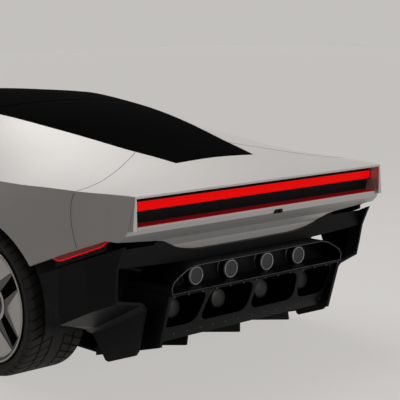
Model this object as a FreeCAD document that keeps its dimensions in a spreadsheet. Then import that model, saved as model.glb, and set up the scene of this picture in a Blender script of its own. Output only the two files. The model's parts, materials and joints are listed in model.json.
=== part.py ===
import FreeCAD, Part
import math
import os
from types import SimpleNamespace

import Sketcher
from FreeCAD import Placement, Rotation, Vector

# A mid-engined two-seat supercar, in millimetres.
# +X is forward, +Y is the car's left, +Z is up. The origin is on the ground, in the middle of the car's box.

# Driving dimensions
SIZES = {
    "wheelbase": 2720,
    "front_overhang": 1010,
    "rear_overhang": 970,
    "body_width": 2000,
    "roof_height": 1330,
    "shoulder_height": 985,
    "nose_height": 590,
    "body_bottom": 190,
    "ground_clearance": 100,
    "skin_thickness": 22,
    "door_thickness": 80,
    "glass_thickness": 6,
    "floor_thickness": 30,
    "panel_gap": 5,
    "door_gap": 10,
    "seat_gap": 0.3,
    "shut_gap": 0.6,
    "front_tyre_radius": 345,
    "rear_tyre_radius": 365,
    "front_tyre_width": 265,
    "rear_tyre_width": 345,
    "front_rim_radius": 276,
    "rear_rim_radius": 294,
    "front_arch_radius": 416,
    "rear_arch_radius": 424,
    "wheel_face_inset": 12,
    "rim_wall": 10,
    "hub_bore_radius": 32,
    "bearing_play": 0.08,
    "disc_radius": 195,
    "disc_thickness": 34,
    "pin_radius": 4,
    "fascia_height": 154,
    "fascia_lean": 28,
    "lamp_depth": 70,
    "lamp_bar_height": 42,
    "lamp_frame": 11,
    "exhaust_radius": 48,
    "exhaust_wall": 4,
    "exhaust_height": 541,
    "exhaust_recess": 130,
    "exhaust_set_back": 90,
    "exhaust_inner_offset": 126,
    "exhaust_outer_offset": 357,
    "diffuser_half_width": 595,
    "diffuser_wall": 18,
    "tunnel_fin": 16,
    "blade_height": 44,
    "end_plate_thickness": 14,
    "engine_length": 640,
    "engine_gap": 100,
    "engine_width": 560,
    "engine_height": 420,
    "seat_width": 500,
    "steering_wheel_radius": 175,
    "steering_rim_radius": 14,
}

doc = FreeCAD.newDocument("supercar")
sheet = doc.addObject("Spreadsheet::Sheet", "sizes")
for row, (name, number) in enumerate(SIZES.items(), 1):
    sheet.set("A%d" % row, name)
    sheet.set("B%d" % row, str(number))
    sheet.setAlias("B%d" % row, name)
doc.recompute()


class Size:
    """A length that knows its value now and the sheet's expression for it."""

    def __init__(self, value, text):
        self.value = float(value)
        self.text = text

    def __float__(self):
        return self.value

    def joined(self, other, sign, value):
        text = other.text if isinstance(other, Size) else repr(float(other))
        return Size(value, "(%s %s %s)" % (self.text, sign, text))

    def __add__(self, other):
        return self.joined(other, "+", self.value + float(other))

    def __sub__(self, other):
        return self.joined(other, "-", self.value - float(other))

    def __rsub__(self, other):
        return -self + other

    def __mul__(self, other):
        return self.joined(other, "*", self.value * float(other))

    def __truediv__(self, other):
        return self.joined(other, "/", self.value / float(other))

    def __neg__(self):
        return Size(-self.value, "(-1 * %s)" % self.text)


# d holds each size as a Size, for what is bound to the sheet; v holds plain numbers, for free-form shapes
d = SimpleNamespace(**{name: Size(number, "sizes." + name) for name, number in SIZES.items()})
v = SimpleNamespace(**{name: float(sheet.get(name)) for name in SIZES})

# Places worked out from the driving dimensions
length = d.rear_overhang + d.wheelbase + d.front_overhang
rear_axle = d.rear_overhang - length / 2
front_axle = rear_axle + d.wheelbase
X_REAR = float(rear_axle)
X_FRONT = float(front_axle)
HALF = v.body_width / 2
NODES = []


def at(u):
    """X of a station: -1 is the tail, 0 the rear axle, 1 the front axle and 2 the nose."""
    if u < 0:
        return X_REAR + u * v.rear_overhang
    if u < 1:
        return X_REAR + u * v.wheelbase
    return X_FRONT + (u - 1) * v.front_overhang


def along(table, u):
    """The value at u of a smooth curve through (u, value) knots that never overshoots them."""
    xs = [at(k) for k in sorted(table)]
    values = [table[k] for k in sorted(table)]
    x = min(max(at(u), xs[0]), xs[-1])
    i = max(k for k in range(len(xs) - 1) if xs[k] <= x)
    slopes = [(values[k + 1] - values[k]) / (xs[k + 1] - xs[k]) for k in range(len(xs) - 1)]

    def tangent(k):
        if k in (0, len(slopes)):
            return slopes[min(k, len(slopes) - 1)]
        before, after = slopes[k - 1], slopes[k]
        return 2 * before * after / (before + after) if before * after > 0 else 0.0

    run = xs[i + 1] - xs[i]
    s = (x - xs[i]) / run
    return ((1 + 2 * s) * (1 - s) ** 2 * values[i] + s * s * (3 - 2 * s) * values[i + 1]
            + s * (1 - s) ** 2 * run * tangent(i) - s * s * (1 - s) * run * tangent(i + 1))


# Feature lines of the body. The shoulder is the crisp edge along the side, the rail runs from the bonnet's
# crease up the screen pillar, along the roof and down to the corner of the rear glass, the waist is the
# widest line of the side and the hem is its lower edge.
SHOULDER_INSET = {-1: 162, -0.62: 75, -0.1: 30, 0.12: 28, 0.35: 55, 0.6: 60, 0.8: 54, 1: 35, 1.25: 48,
    1.6: 125, 2: 250}
SHOULDER_RISE = {-1: 0.99, -0.6: 1, 0: 1, 0.12: 0.975, 0.35: 0.89, 0.6: 0.79, 0.8: 0.72, 1: 0.66,
    1.25: 0.54, 1.6: 0.28, 2: 0}
RAIL_SHARE = {-1: 0.21, -0.608: 0.271, -0.224: 0.356, 0.118: 0.466, 0.3: 0.53, 0.45: 0.562, 0.62: 0.58,
    0.72: 0.61,
              0.92: 0.70, 1.0: 0.68, 1.2: 0.62, 1.6: 0.5, 2: 0.42}
RAIL_RISE = {-1: 0, -0.608: 0.195, -0.224: 0.386, 0.118: 0.662, 0.3: 0.84, 0.45: 0.92, 0.6: 0.905, 0.66: 0.86,
             0.93: 0.03, 1.0: 0.0, 2: 0.0}
TOP_RISE = {-1: 0.003, -0.608: 0.214, -0.224: 0.43, 0.118: 0.745, 0.3: 0.92, 0.45: 1.0, 0.6: 0.99,
    0.66: 0.945,
            0.93: 0.12, 1.0: 0.05, 1.3: 0.04, 2: 0.02}
WAIST_INSET = {-1: 138, -0.62: 62, -0.1: 2, 0.1: 0, 0.35: 46, 0.6: 52, 0.8: 52, 1: 18, 1.25: 28, 1.6: 100,
    2: 225}
WAIST_SHARE = {-1: 0.62, 0: 0.64, 0.4: 0.6, 1: 0.62, 2: 0.6}
HEM_INSET = {-1: 170, 0: 40, 0.35: 70, 0.6: 70, 0.8: 56, 1: 50, 1.25: 62, 1.6: 135, 2: 262}


def feature_points(u):
    """Top, rail, shoulder, waist and hem points (y, z) of the left half at a station."""
    shoulder_z = v.nose_height + along(SHOULDER_RISE, u) * (v.shoulder_height - v.nose_height)
    above = v.roof_height - shoulder_z
    waist_z = v.body_bottom + along(WAIST_SHARE, u) * (shoulder_z - v.body_bottom)
    return [(0.0, shoulder_z + along(TOP_RISE, u) * above),
            (HALF * along(RAIL_SHARE, u), shoulder_z + along(RAIL_RISE, u) * above),
            (HALF - along(SHOULDER_INSET, u), shoulder_z),
            (HALF - along(WAIST_INSET, u), waist_z),
            (HALF - along(HEM_INSET, u), v.body_bottom)]


def bulged(a, b, bulge):
    """Points between a and b, pushed out to the left of the way from a to b by a share of its length."""
    (ya, za), (yb, zb) = a, b
    run = math.hypot(yb - ya, zb - za)
    ny, nz = -(zb - za) / run, (yb - ya) / run
    points = []
    for s in (0.25, 0.5, 0.75):
        push = 4 * s * (1 - s) * bulge * run
        points.append((ya + s * (yb - ya) + ny * push, za + s * (zb - za) + nz * push))
    return points


HAUNCH_BULGE = {-1: 0.0, -0.6: 0.012, 0: 0.03, 0.3: 0.035, 0.6: 0.03, 0.9: 0.02, 1.2: 0.04, 2: 0.03}
SIDE_BULGE = {-1: 0.01, 0: 0.03, 0.5: 0.015, 1: 0.04, 2: 0.03}
SILL_BULGE = {-1: 0.0, 0: 0.02, 0.5: -0.03, 1: 0.02, 2: 0.02}


def outline(u, inset):
    """Left half outline at a station: one list of points per strip, moved inwards by inset."""
    top, rail, shoulder, waist, hem = feature_points(u)
    strips = [[top, (rail[0] * 0.5, top[1] - 0.25 * (top[1] - rail[1])), rail],
              [rail] + bulged(rail, shoulder, along(HAUNCH_BULGE, u)) + [shoulder],
              [shoulder] + bulged(shoulder, waist, along(SIDE_BULGE, u)) + [waist],
              [waist] + bulged(waist, hem, along(SILL_BULGE, u)) + [hem]]
    if not inset:
        return strips
    flat = strips[0] + strips[1][1:] + strips[2][1:] + strips[3][1:]
    moved = []
    for i, (y, z) in enumerate(flat):
        before = flat[i - 1] if i else (-flat[1][0], flat[1][1])
        after = flat[i + 1] if i + 1 < len(flat) else (2 * y - before[0], 2 * z - before[1])
        n1 = unit_normal(before, (y, z))
        n2 = unit_normal((y, z), after)
        cosine = 1 + n1[0] * n2[0] + n1[1] * n2[1]
        moved.append((y + inset * (n1[0] + n2[0]) / cosine, z + inset * (n1[1] + n2[1]) / cosine))
    return [moved[0:3], moved[2:7], moved[6:11], moved[10:15]]


def unit_normal(a, b):
    """Inward normal of the way from a to b, going round the section from the top to the hem."""
    run = math.hypot(b[0] - a[0], b[1] - a[1])
    return ((b[1] - a[1]) / run, -(b[0] - a[0]) / run)


def curve(x, points):
    spline = Part.BSplineCurve()
    spline.interpolate([Vector(x, y, z) for y, z in points])
    return spline.toShape()


def half_arch(x, strips, side, reverse):
    """Edges of one side's outline, from the rail down to the hem, or back up."""
    edges = [curve(x, [(side * y, z) for y, z in strip]) for strip in strips[1:]]
    return edges[::-1] if reverse else edges


def arch_edges(x, strips):
    top = strips[0]
    crown = [(-y, z) for y, z in top[:0:-1]] + top
    return half_arch(x, strips, -1, True) + [curve(x, crown)] + half_arch(x, strips, 1, False)


def loop(x, outer, inner=None):
    """A closed wire at x: the outline with its chord, or the wall between two outlines."""
    edges = arch_edges(x, outer)
    left, right = outer[3][-1], (-outer[3][-1][0], outer[3][-1][1])
    if inner is None:
        edges.append(Part.makeLine(Vector(x, *left), Vector(x, *right)))
        return Part.Wire(Part.__sortEdges__(edges))
    inner_left, inner_right = inner[3][-1], (-inner[3][-1][0], inner[3][-1][1])
    edges += arch_edges(x, inner)
    edges.append(Part.makeLine(Vector(x, *left), Vector(x, *inner_left)))
    edges.append(Part.makeLine(Vector(x, *right), Vector(x, *inner_right)))
    return Part.Wire(Part.__sortEdges__(edges))


STATIONS = [-1.0, -0.8, -0.608, -0.4, -0.2, 0.0, 0.118, 0.22, 0.3, 0.38, 0.45, 0.54, 0.6, 0.66, 0.74,
    0.83, 0.93,
            1.0, 1.1, 1.25, 1.4, 1.6, 1.8, 2.0]


def skin(thickness, start=-1.0, end=2.0):
    """The body's wall, as thick as given, between two stations."""
    inside = [u for u in STATIONS if start < u < end]
    wires = [loop(at(u), outline(u, 0), outline(u, thickness)) for u in [start] + inside + [end]]
    return Part.makeLoft(wires, True, False)


def body_solid(inset=0.0, start=-1.0, end=2.0):
    inside = [u for u in STATIONS if start < u < end]
    wires = [loop(at(u), outline(u, inset)) for u in [start] + inside + [end]]
    return Part.makeLoft(wires, True, False)


# Plain solids for cutting and for simple pieces
def box(x0, x1, y0, y1, z0, z1):
    return Part.makeBox(x1 - x0, y1 - y0, z1 - z0, Vector(x0, y0, z0))


def prism(axis, points, start, end):
    """A straight prism: its outline's two coordinates are the ones other than its axis, in X, Y, Z order."""
    place = {"x": lambda p: Vector(start, p[0], p[1]),
             "y": lambda p: Vector(p[0], start, p[1]),
             "z": lambda p: Vector(p[0], p[1], start)}[axis]
    step = {"x": Vector(end - start, 0, 0), "y": Vector(0, end - start, 0),
        "z": Vector(0, 0, end - start)}[axis]
    corners = [place(p) for p in points]
    return Part.Face(Part.makePolygon(corners + corners[:1])).extrude(step)


def rod(a, b, radius):
    """A round bar from a to b."""
    way = b - a
    return Part.makeCylinder(radius, way.Length, a, way)


def across(shape):
    """The same shape on the car's other side."""
    return shape.mirror(Vector(0, 0, 0), Vector(0, 1, 0))


def both(shape):
    return Part.makeCompound([shape, across(shape)])


def joined(shapes):
    result = shapes[0].fuse(shapes[1:])
    return result.removeSplitter()


def largest(shape):
    """The largest solid of a cut, without slivers beside it."""
    return max(shape.Solids, key=lambda solid: solid.Volume)


def piece(name, shape):
    """A sub-part whose shape is set from the sizes on the sheet."""
    item = doc.addObject("Part::Feature", name)
    item.Label = name
    item.Shape = shape
    item.Placement = Placement()
    NODES.append(item)
    return item


def bound(item, **sizes):
    """Ties properties of an object to the sheet."""
    for key, size in sizes.items():
        item.setExpression(key.replace("_at_", "."), size.text)


# Shut lines, as stations or as X
DOOR_FRONT = X_FRONT - v.front_arch_radius - 105
DOOR_REAR = at(0.36)
BONNET_FRONT = at(1.62)
BUMPER_REAR = BONNET_FRONT + v.shut_gap
COWL = X_FRONT - 150
ROOF_FRONT = at(0.66)
ROOF_REAR = at(0.27)
GLASS_TAIL = at(-0.608)
SILL_TOP = v.body_bottom + 75
# How far the window's corners lie below the rail
PILLAR_LOW, PILLAR_HIGH, ROOF_EDGE, QUARTER_EDGE = 76.0, 44.7, 62.0, 106.6


def rail_plan(margin):
    """Plan outline (x, y) of the area between the two rails, narrower by margin each side."""
    steps = 40
    xs = [at(-0.95) + (at(1.1) - at(-0.95)) * k / steps for k in range(steps + 1)]
    left = [(x, HALF * along(RAIL_SHARE, station(x)) - margin) for x in xs]
    return left + [(x, -y) for x, y in left[::-1]]


def station(x):
    """The station whose X is given."""
    if x < X_REAR:
        return (x - X_REAR) / v.rear_overhang
    if x < X_FRONT:
        return (x - X_REAR) / v.wheelbase
    return 1 + (x - X_FRONT) / v.front_overhang


def belt(x, lift=0.0):
    """Height of the door's top edge, just above the shoulder."""
    return feature_points(station(x))[2][1] + 14 + lift


FAR = 1500.0


def wall_middle(shape, x, y):
    """Height of the middle of a wall at a place."""
    crossing = shape.common(Part.makeLine(Vector(x, y, 300), Vector(x, y, 2000))).BoundBox
    return (crossing.ZMin + crossing.ZMax) / 2


def tail_shut(offset):
    """Everything behind the shut line of the tail, which leans forward on the way up."""
    def edge(z, y):
        return GLASS_TAIL + 0.165 * (z - 1055) - 0.0325 * (abs(y) - 271) + offset

    def level(z):
        points = [(-3000, -FAR), (edge(z, -FAR), -FAR), (edge(z, 0) - 8, 0), (edge(z, FAR), FAR),
            (-3000, FAR)]
        return Part.makePolygon([Vector(x, y, z) for x, y in points + points[:1]])

    return Part.makeLoft([level(0), level(1600)], True, True)


wall = skin(v.skin_thickness)
door_wall = skin(v.door_thickness, 0.3, 0.95)
glass_wall = skin(v.glass_thickness, 0.2, 1.05)
lid_wall = skin(20, -0.7, 0.4)

arch_front = Part.makeCylinder(v.front_arch_radius, 2 * FAR, Vector(X_FRONT, -FAR, v.front_tyre_radius),
    Vector(0, 1, 0))
arch_rear = Part.makeCylinder(v.rear_arch_radius, 2 * FAR, Vector(X_REAR, -FAR, v.rear_tyre_radius),
    Vector(0, 1, 0))

# The cut-away under the tail: the side's lower edge climbs from the rear arch to the lamp
LAMP_TOP = v.shoulder_height - 3
BAND_HEIGHT = 45.0
LAMP_LOW = LAMP_TOP - v.fascia_height
TAIL = at(-1)
SIDE_EDGE = [(X_REAR - 376, v.rear_tyre_radius + 250), (X_REAR - 560, 683), (X_REAR - 760, 752),
    (X_REAR - 853, 786),
             (TAIL + v.fascia_lean, LAMP_LOW)]
side_cut = prism("y", [(X_REAR - 316, 0),
        (X_REAR - 316, SIDE_EDGE[0][1] - 24)] + SIDE_EDGE + [(TAIL - 200, LAMP_LOW), (TAIL - 200, 0)],
                 -FAR, FAR)

# Side panels: quarter, haunch, roof rail and screen pillar in one, as a real body side is pressed
rails = prism("z", rail_plan(0.0), 0, 2000)


def under_rail(x, depth):
    """A corner of the window, a depth below the rail."""
    return (x, feature_points(station(x))[1][1] - depth)


window = [(DOOR_FRONT - 10, belt(DOOR_FRONT)), under_rail(DOOR_FRONT - 10, PILLAR_LOW),
    under_rail(ROOF_FRONT + 10, PILLAR_HIGH),
          under_rail(at(0.42), ROOF_EDGE), under_rail(DOOR_REAR + 25, QUARTER_EDGE),
    (DOOR_REAR + 25, belt(DOOR_REAR))]


def grown(points, margin):
    """A convex outline moved outwards by margin, or inwards where margin is negative."""
    centre = [sum(c) / len(points) for c in zip(*points)]
    result = []
    for i, p in enumerate(points):
        a, b = points[i - 1], points[(i + 1) % len(points)]
        normals = []
        for s, e in ((a, p), (p, b)):
            run = math.hypot(e[0] - s[0], e[1] - s[1])
            n = ((e[1] - s[1]) / run, -(e[0] - s[0]) / run)
            if n[0] * (p[0] - centre[0]) + n[1] * (p[1] - centre[1]) < 0:
                n = (-n[0], -n[1])
            normals.append(n)
        (ax, ay), (bx, by) = normals
        scale = margin / (1 + ax * bx + ay * by)
        result.append((p[0] + scale * (ax + bx), p[1] + scale * (ay + by)))
    return result


def above_belt(lift):
    """Everything over the door's top edge."""
    xs = [DOOR_REAR - 300, DOOR_REAR, at(0.5), at(0.65), DOOR_FRONT, DOOR_FRONT + 300]
    line = [(x, belt(x, lift)) for x in xs]
    return prism("y", line + [(xs[-1], 1700), (xs[0], 1700)], -FAR, FAR)


door_block = prism("y", [(DOOR_REAR, SILL_TOP), (DOOR_FRONT, SILL_TOP), (DOOR_FRONT, belt(DOOR_FRONT)),
                         (at(0.65), belt(at(0.65))), (at(0.5), belt(at(0.5))),
        (DOOR_REAR, belt(DOOR_REAR))], 0, FAR)
door_clear = prism("y", [(DOOR_REAR - v.door_gap, 0), (DOOR_FRONT + v.door_gap, 0),
                         (DOOR_FRONT + v.door_gap, belt(DOOR_FRONT, v.panel_gap + 3)),
                         (at(0.65), belt(at(0.65), v.panel_gap + 3)),
        (at(0.5), belt(at(0.5), v.panel_gap + 3)),
                         (DOOR_REAR - v.door_gap, belt(DOOR_REAR, v.panel_gap + 3))], 0, FAR)

side_zone = box(at(-1) - 10, COWL, 0, FAR, v.body_bottom - 50, 2000)
side = wall.common(side_zone).cut([rails, arch_rear, side_cut, tail_shut(0), door_clear,
                                   prism("y", grown(window, 9), 0, FAR),
                                   box(DOOR_FRONT, COWL + 10, 0, FAR, 0, belt(DOOR_FRONT) + v.seat_gap)])
side = largest(side)

# Doors, cut at the belt, with frameless glass that rides on them
door = door_wall.common(door_block)
door = largest(door)
glass = glass_wall.common(prism("y", window, 0, FAR)).common(above_belt(v.seat_gap)).common(box(-3000,
        3000, 200, FAR, 0, 2000))
glass = largest(glass)
HINGE_X = DOOR_FRONT - 16
HINGE_Y = max(p[0] for p in feature_points(station(DOOR_FRONT))[2:]) - 13
HINGE_Z = [SILL_TOP + 110, belt(DOOR_FRONT) - 110]
HINGE_ARM = 16.0
HINGE_EYE = v.pin_radius + 3
for z in HINGE_Z:
    knuckle_room = box(HINGE_X - HINGE_EYE - 5, DOOR_FRONT + 5, HINGE_Y - 200, HINGE_Y + HINGE_EYE + 3,
        z - HINGE_ARM / 2 - 5, z + HINGE_ARM / 2 + 5)
    bore = Part.makeCylinder(v.pin_radius + v.bearing_play, 70, Vector(HINGE_X, HINGE_Y, z - 35))
    door = door.cut([knuckle_room, bore])
piece("door_left", door)
piece("door_right", across(door))
piece("door_glass_left", glass)
piece("door_glass_right", across(glass))

# Front wings, from the door to the bumper, outside the bonnet
LID_HALF = 540.0
wing = wall.common(box(DOOR_FRONT, BONNET_FRONT, 0, FAR, v.body_bottom - 5, 2000))
wing = wing.cut([arch_front, box(DOOR_FRONT - 10, DOOR_FRONT + v.door_gap, 0, FAR, 0, belt(DOOR_FRONT, 400)),
                 box(DOOR_FRONT - 10, COWL, 0, FAR, belt(DOOR_FRONT), 2000),
                 box(DOOR_FRONT - 10, FAR * 3, -LID_HALF, LID_HALF, 0, 2000),
                 rails.common(box(DOOR_FRONT - 10, COWL + v.seat_gap, -FAR, FAR, 0, 2000))])
wing = largest(wing)
LID_REAR = COWL + 15
LID_AXIS_X = LID_REAR + 80
PIN_LENGTH = 30.0
LID_AXIS_Z = wall_middle(wall, LID_AXIS_X, LID_HALF - v.panel_gap - PIN_LENGTH / 2)
wing = wing.fuse(rod(Vector(LID_AXIS_X, LID_HALF - v.panel_gap - PIN_LENGTH, LID_AXIS_Z),
        Vector(LID_AXIS_X, LID_HALF + 8, LID_AXIS_Z),
                     v.pin_radius))
piece("wing_left", wing)
piece("wing_right", across(wing))

# Luggage lid over the nose
lid = wall.common(box(LID_REAR, BONNET_FRONT - v.panel_gap, -LID_HALF + v.panel_gap,
        LID_HALF - v.panel_gap, 300, 2000))
lid = largest(lid).cut([rod(Vector(LID_AXIS_X, side * (LID_HALF - v.panel_gap - PIN_LENGTH - 2), LID_AXIS_Z),
                            Vector(LID_AXIS_X, side * LID_HALF, LID_AXIS_Z),
        v.pin_radius + v.bearing_play) for side in (-1, 1)])
piece("front_lid", largest(lid))

# Canopy: screen, roof and rear glass
canopy = skin(v.glass_thickness + 4, -0.7, 1.1)
inside_rails = prism("z", rail_plan(v.seat_gap), 0, 2000)
screen = canopy.common(inside_rails).common(box(ROOF_FRONT + v.seat_gap, COWL, -FAR, FAR, 600, 2000))
piece("windscreen", largest(screen))
roof_zone = box(ROOF_REAR, ROOF_FRONT, -FAR, FAR, 600, 2000)
roof = wall.common(inside_rails).common(roof_zone)
piece("roof_panel", largest(roof))
LID_GAP = 14.0
glass_rails = prism("z", rail_plan(v.panel_gap + 0.5), 0, 2000)
rear_glass = lid_wall.common(glass_rails).common(box(at(-1), ROOF_REAR - LID_GAP, -FAR, FAR, 600,
        2000)).cut(tail_shut(12))
GLASS_AXIS_X = ROOF_REAR - LID_GAP - 80
rail_y = HALF * along(RAIL_SHARE, station(GLASS_AXIS_X))
GLASS_AXIS_Z = wall_middle(lid_wall, GLASS_AXIS_X, rail_y - v.panel_gap - PIN_LENGTH / 2)
glass_pins = [rod(Vector(GLASS_AXIS_X, sign * (rail_y - v.panel_gap - PIN_LENGTH), GLASS_AXIS_Z),
                  Vector(GLASS_AXIS_X, sign * (rail_y + 6), GLASS_AXIS_Z), v.pin_radius) for sign in (1, -1)]
glass_bores = [rod(Vector(GLASS_AXIS_X, sign * (rail_y - v.panel_gap - PIN_LENGTH - 2), GLASS_AXIS_Z),
                   Vector(GLASS_AXIS_X, sign * (rail_y + 6), GLASS_AXIS_Z),
        v.pin_radius + v.bearing_play) for sign in (1, -1)]
piece("rear_glass", largest(largest(rear_glass).cut(glass_bores)))
side = side.fuse(glass_pins[0])
piece("side_panel_left", side)
piece("side_panel_right", across(side))

# Tail: deck, haunch ends, lamp frame and belly in one
fascia_profile = [(TAIL, LAMP_TOP), (TAIL + v.fascia_lean, LAMP_LOW), (TAIL + 40, LAMP_LOW - 24),
    (TAIL + 76, LAMP_LOW - 52),
                  (TAIL + 120, LAMP_LOW - 84), (TAIL + 150, LAMP_LOW - 122), (TAIL + 166, LAMP_LOW - 164)]
fascia_inner = [(TAIL + 196, LAMP_LOW - 164), (TAIL + 184, LAMP_LOW - 110), (TAIL + 160, LAMP_LOW - 60),
                (TAIL + 140, LAMP_LOW - 20), (TAIL + 130, LAMP_LOW), (TAIL + 120, LAMP_TOP - 26)]
tail_core = body_solid(0, -1.0, -0.5)
fascia = prism("y", fascia_profile + fascia_inner + [(TAIL + 120, LAMP_TOP + 60), (TAIL, LAMP_TOP + 60)],
    -FAR, FAR)
fascia = fascia.common(tail_core)
# Lower edge of the belly from the side to the middle: it steps up in an S outside the exhausts
belly_edge = [(900, LAMP_LOW - 52), (770, LAMP_LOW - 66), (630, LAMP_LOW - 82), (580, LAMP_LOW - 89),
    (552, LAMP_LOW - 98),
              (520, LAMP_LOW - 113), (485, LAMP_LOW - 130), (440, LAMP_LOW - 143), (360, LAMP_LOW - 156),
    (300, LAMP_LOW - 160),
              (0, LAMP_LOW - 162)]


def mirrored(line):
    """A line from the left side to the middle, gone on with on the right side."""
    return line + [(-y, z) for y, z in line[-2::-1]]


belly_cut = prism("x", mirrored(belly_edge) + [(-900, 300), (900, 300)], TAIL - 100, TAIL + 300)
lean = v.fascia_lean / v.fascia_height
recess_low, recess_high = LAMP_LOW + v.lamp_frame, LAMP_TOP - v.lamp_frame
CORNER_Y = HALF - along(SHOULDER_INSET, -1)
recess_half = CORNER_Y - 8


def behind(z):
    """X of the fascia's plane at a height."""
    return TAIL + (LAMP_TOP - z) * lean


recess = prism("y", [(behind(recess_low) - 60, recess_low), (behind(recess_low) + v.lamp_depth, recess_low),
                     (behind(recess_high) + v.lamp_depth, recess_high),
        (behind(recess_high) - 60, recess_high)],
               -recess_half, recess_half)
tail_skin = wall.common(tail_shut(-v.shut_gap)).cut(side_cut)
tail_panel = joined([largest(tail_skin), fascia.cut(belly_cut)])
tail_panel = largest(tail_panel.cut(recess))
piece("tail_panel", tail_panel)

# Lamp: a black tray in the recess, the bright bar on its back wall and the lens that lines its floor
bar_high = recess_high - 24
bar_low = bar_high - v.lamp_bar_height
back = v.lamp_depth - v.seat_gap
tray = prism("y", [(behind(recess_low) + back - 6, recess_low + 1),
        (behind(recess_low) + back, recess_low + 1),
                   (behind(recess_high) + back, recess_high - 1),
        (behind(recess_high) + back - 6, recess_high - 1)],
             -recess_half + 1, recess_half - 1)
bar = prism("y", [(behind(bar_low) + back - 22, bar_low), (behind(bar_low) + back - 6 - v.seat_gap, bar_low),
                  (behind(bar_high) + back - 6 - v.seat_gap, bar_high),
        (behind(bar_high) + back - 22, bar_high)],
            -recess_half + 12, recess_half - 12)
shelf = prism("y", [(behind(recess_low) + 2, recess_low + v.seat_gap),
        (behind(recess_low) + back - 7, recess_low + v.seat_gap),
                    (behind(recess_low) + back - 7, recess_low + 6),
        (behind(recess_low) + 2, recess_low + 4)],
              -recess_half + 2, recess_half - 2)
piece("lamp_tray", tray)
piece("light_bar", bar)
side_shield = wall.common(box(TAIL - 10, X_REAR, 0, FAR, 0, 1500)).cut(side_cut)
lens_edge = [(X_REAR - 500, 660.0)] + SIDE_EDGE[1:4] + [(X_REAR - 905, 810.5)]
lens_top = [(x, z - v.seat_gap) for x, z in lens_edge]
lens_outline = lens_top + [(X_REAR - 870, 770), (X_REAR - 575, 661), (X_REAR - 540, 651)]
band_outline = lens_top + [(x, z - BAND_HEIGHT) for x, z in lens_edge[::-1]]
tail_room = box(TAIL - 50, TAIL + 166 + v.seat_gap, 0, FAR, 0, 1500)


def under_edge(outline, outside, inside):
    """A strip under the side's lower edge, between two depths below the body's surface."""
    layer = body_solid(outside, -1.0, -0.4).cut(body_solid(inside, -1.0, -0.4))
    return largest(layer.common(prism("y", outline, 600, FAR)).cut([side_shield, tail_room]))


reflector = under_edge(lens_outline, 2, 16)
band = under_edge(band_outline, 16 + v.seat_gap, 30)
piece("red_lenses", Part.makeCompound([shelf, reflector, across(reflector)]))

# Lower rear: blade, end plates, exhaust panel, tips and diffuser
BLADE_TAIL = TAIL + 138
blade_low = LAMP_LOW - 162 - v.seat_gap - v.blade_height
blade_top = [(900, LAMP_LOW - 106), (640, LAMP_LOW - 98), (600, LAMP_LOW - 95)] + belly_edge[3:]
blade_top = [(y, z - v.seat_gap) for y, z in blade_top]
blade_bottom = [(900, blade_low + 25), (600, blade_low + 7), (430, blade_low), (0, blade_low)]
blade = prism("x", mirrored(blade_top) + mirrored(blade_bottom)[::-1], BLADE_TAIL, TAIL + 320)
blade = blade.cut(prism("y",
        [(BLADE_TAIL - 10, blade_low - 10), (BLADE_TAIL - 10, blade_low + 8),
        (BLADE_TAIL + 14, blade_low - 10)], -FAR, FAR))


def sheet_section(x, line, thickness):
    """The section of a bent sheet at one X: its outer line and its wall inside it."""
    inner = []
    for i, (y, z) in enumerate(line):
        n1 = unit_normal(line[i - 1], (y, z)) if i else unit_normal((y, z), line[1])
        n2 = unit_normal((y, z), line[i + 1]) if i + 1 < len(line) else n1
        scale = thickness / (1 + n1[0] * n2[0] + n1[1] * n2[1])
        inner.append((y + scale * (n1[0] + n2[0]), z + scale * (n1[1] + n2[1])))
    points = [Vector(x, y, z) for y, z in line + inner[::-1]]
    return Part.makePolygon(points + points[:1])


# A bent sheet: it bows out beside the tyre, folds in to a shelf and ends in a low fin behind the diffuser's wall
PLATE_LINES = {-380: [(980, 800), (986, 640), (984, 430), (972, 318), (770, 256), (722, 228), (690, 60)],
               -545: [(948, 800), (956, 640), (956, 440), (950, 352), (736, 304), (694, 278), (672, 60)],
               -700: [(912, 800), (918, 640), (905, 500), (890, 428), (705, 386), (676, 360), (662, 60)],
               -940: [(848, 800), (812, 660), (798, 590), (786, 529), (690, 506), (662, 478), (652, 60)]}
plate = Part.makeLoft([sheet_section(X_REAR + x, PLATE_LINES[x], v.end_plate_thickness)
        for x in sorted(PLATE_LINES)],
                      True, True)
plate_outline = [(-426, 574), (-897, 750), (-845, 640), (-820, 486), (-828, 446), (-757, 212),
    (-738, 188), (-553, 124), (-533, 130),
                 (-462, 268), (-520, 330), (-545, 352)]
end_plate = largest(plate.common(prism("y", [(X_REAR + x, z) for x, z in plate_outline], 600, FAR)))
piece("end_plates", Part.makeCompound([end_plate, across(end_plate), band, across(band)]))


plate_shifted = end_plate.copy()
plate_shifted.translate(Vector(0, -v.seat_gap, 0))
over_plate = prism("y", [(X_REAR - 426, 571), (X_REAR - 897, 747), (X_REAR - 897, 900),
        (X_REAR - 426, 900)], 615, FAR)
blade_half = blade.common(box(TAIL, X_REAR, 0, HALF, 0, 1000)).cut([over_plate, end_plate, plate_shifted])
blade_half = largest(blade_half)
piece("rear_blade", joined([blade_half, across(blade_half)]))

PANEL_BACK = TAIL + 50
PANEL_FRONT = TAIL + 300
PANEL_LOW = 490.0
PANEL_HIGH = blade_low - v.seat_gap


def hexagon(margin):
    """Rear outline of the exhaust panel: a wide trapezium with rounded shoulders and cut lower corners."""
    w = v.diffuser_half_width
    points = [(w - 4, PANEL_LOW), (w, PANEL_LOW + 42), (w - 17, PANEL_LOW + 68),
        (w - 54, PANEL_HIGH - 40), (w - 106, PANEL_HIGH - 13),
              (w - 165, PANEL_HIGH)]
    return grown(points + [(-y, z) for y, z in points[::-1]], -margin)


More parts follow.
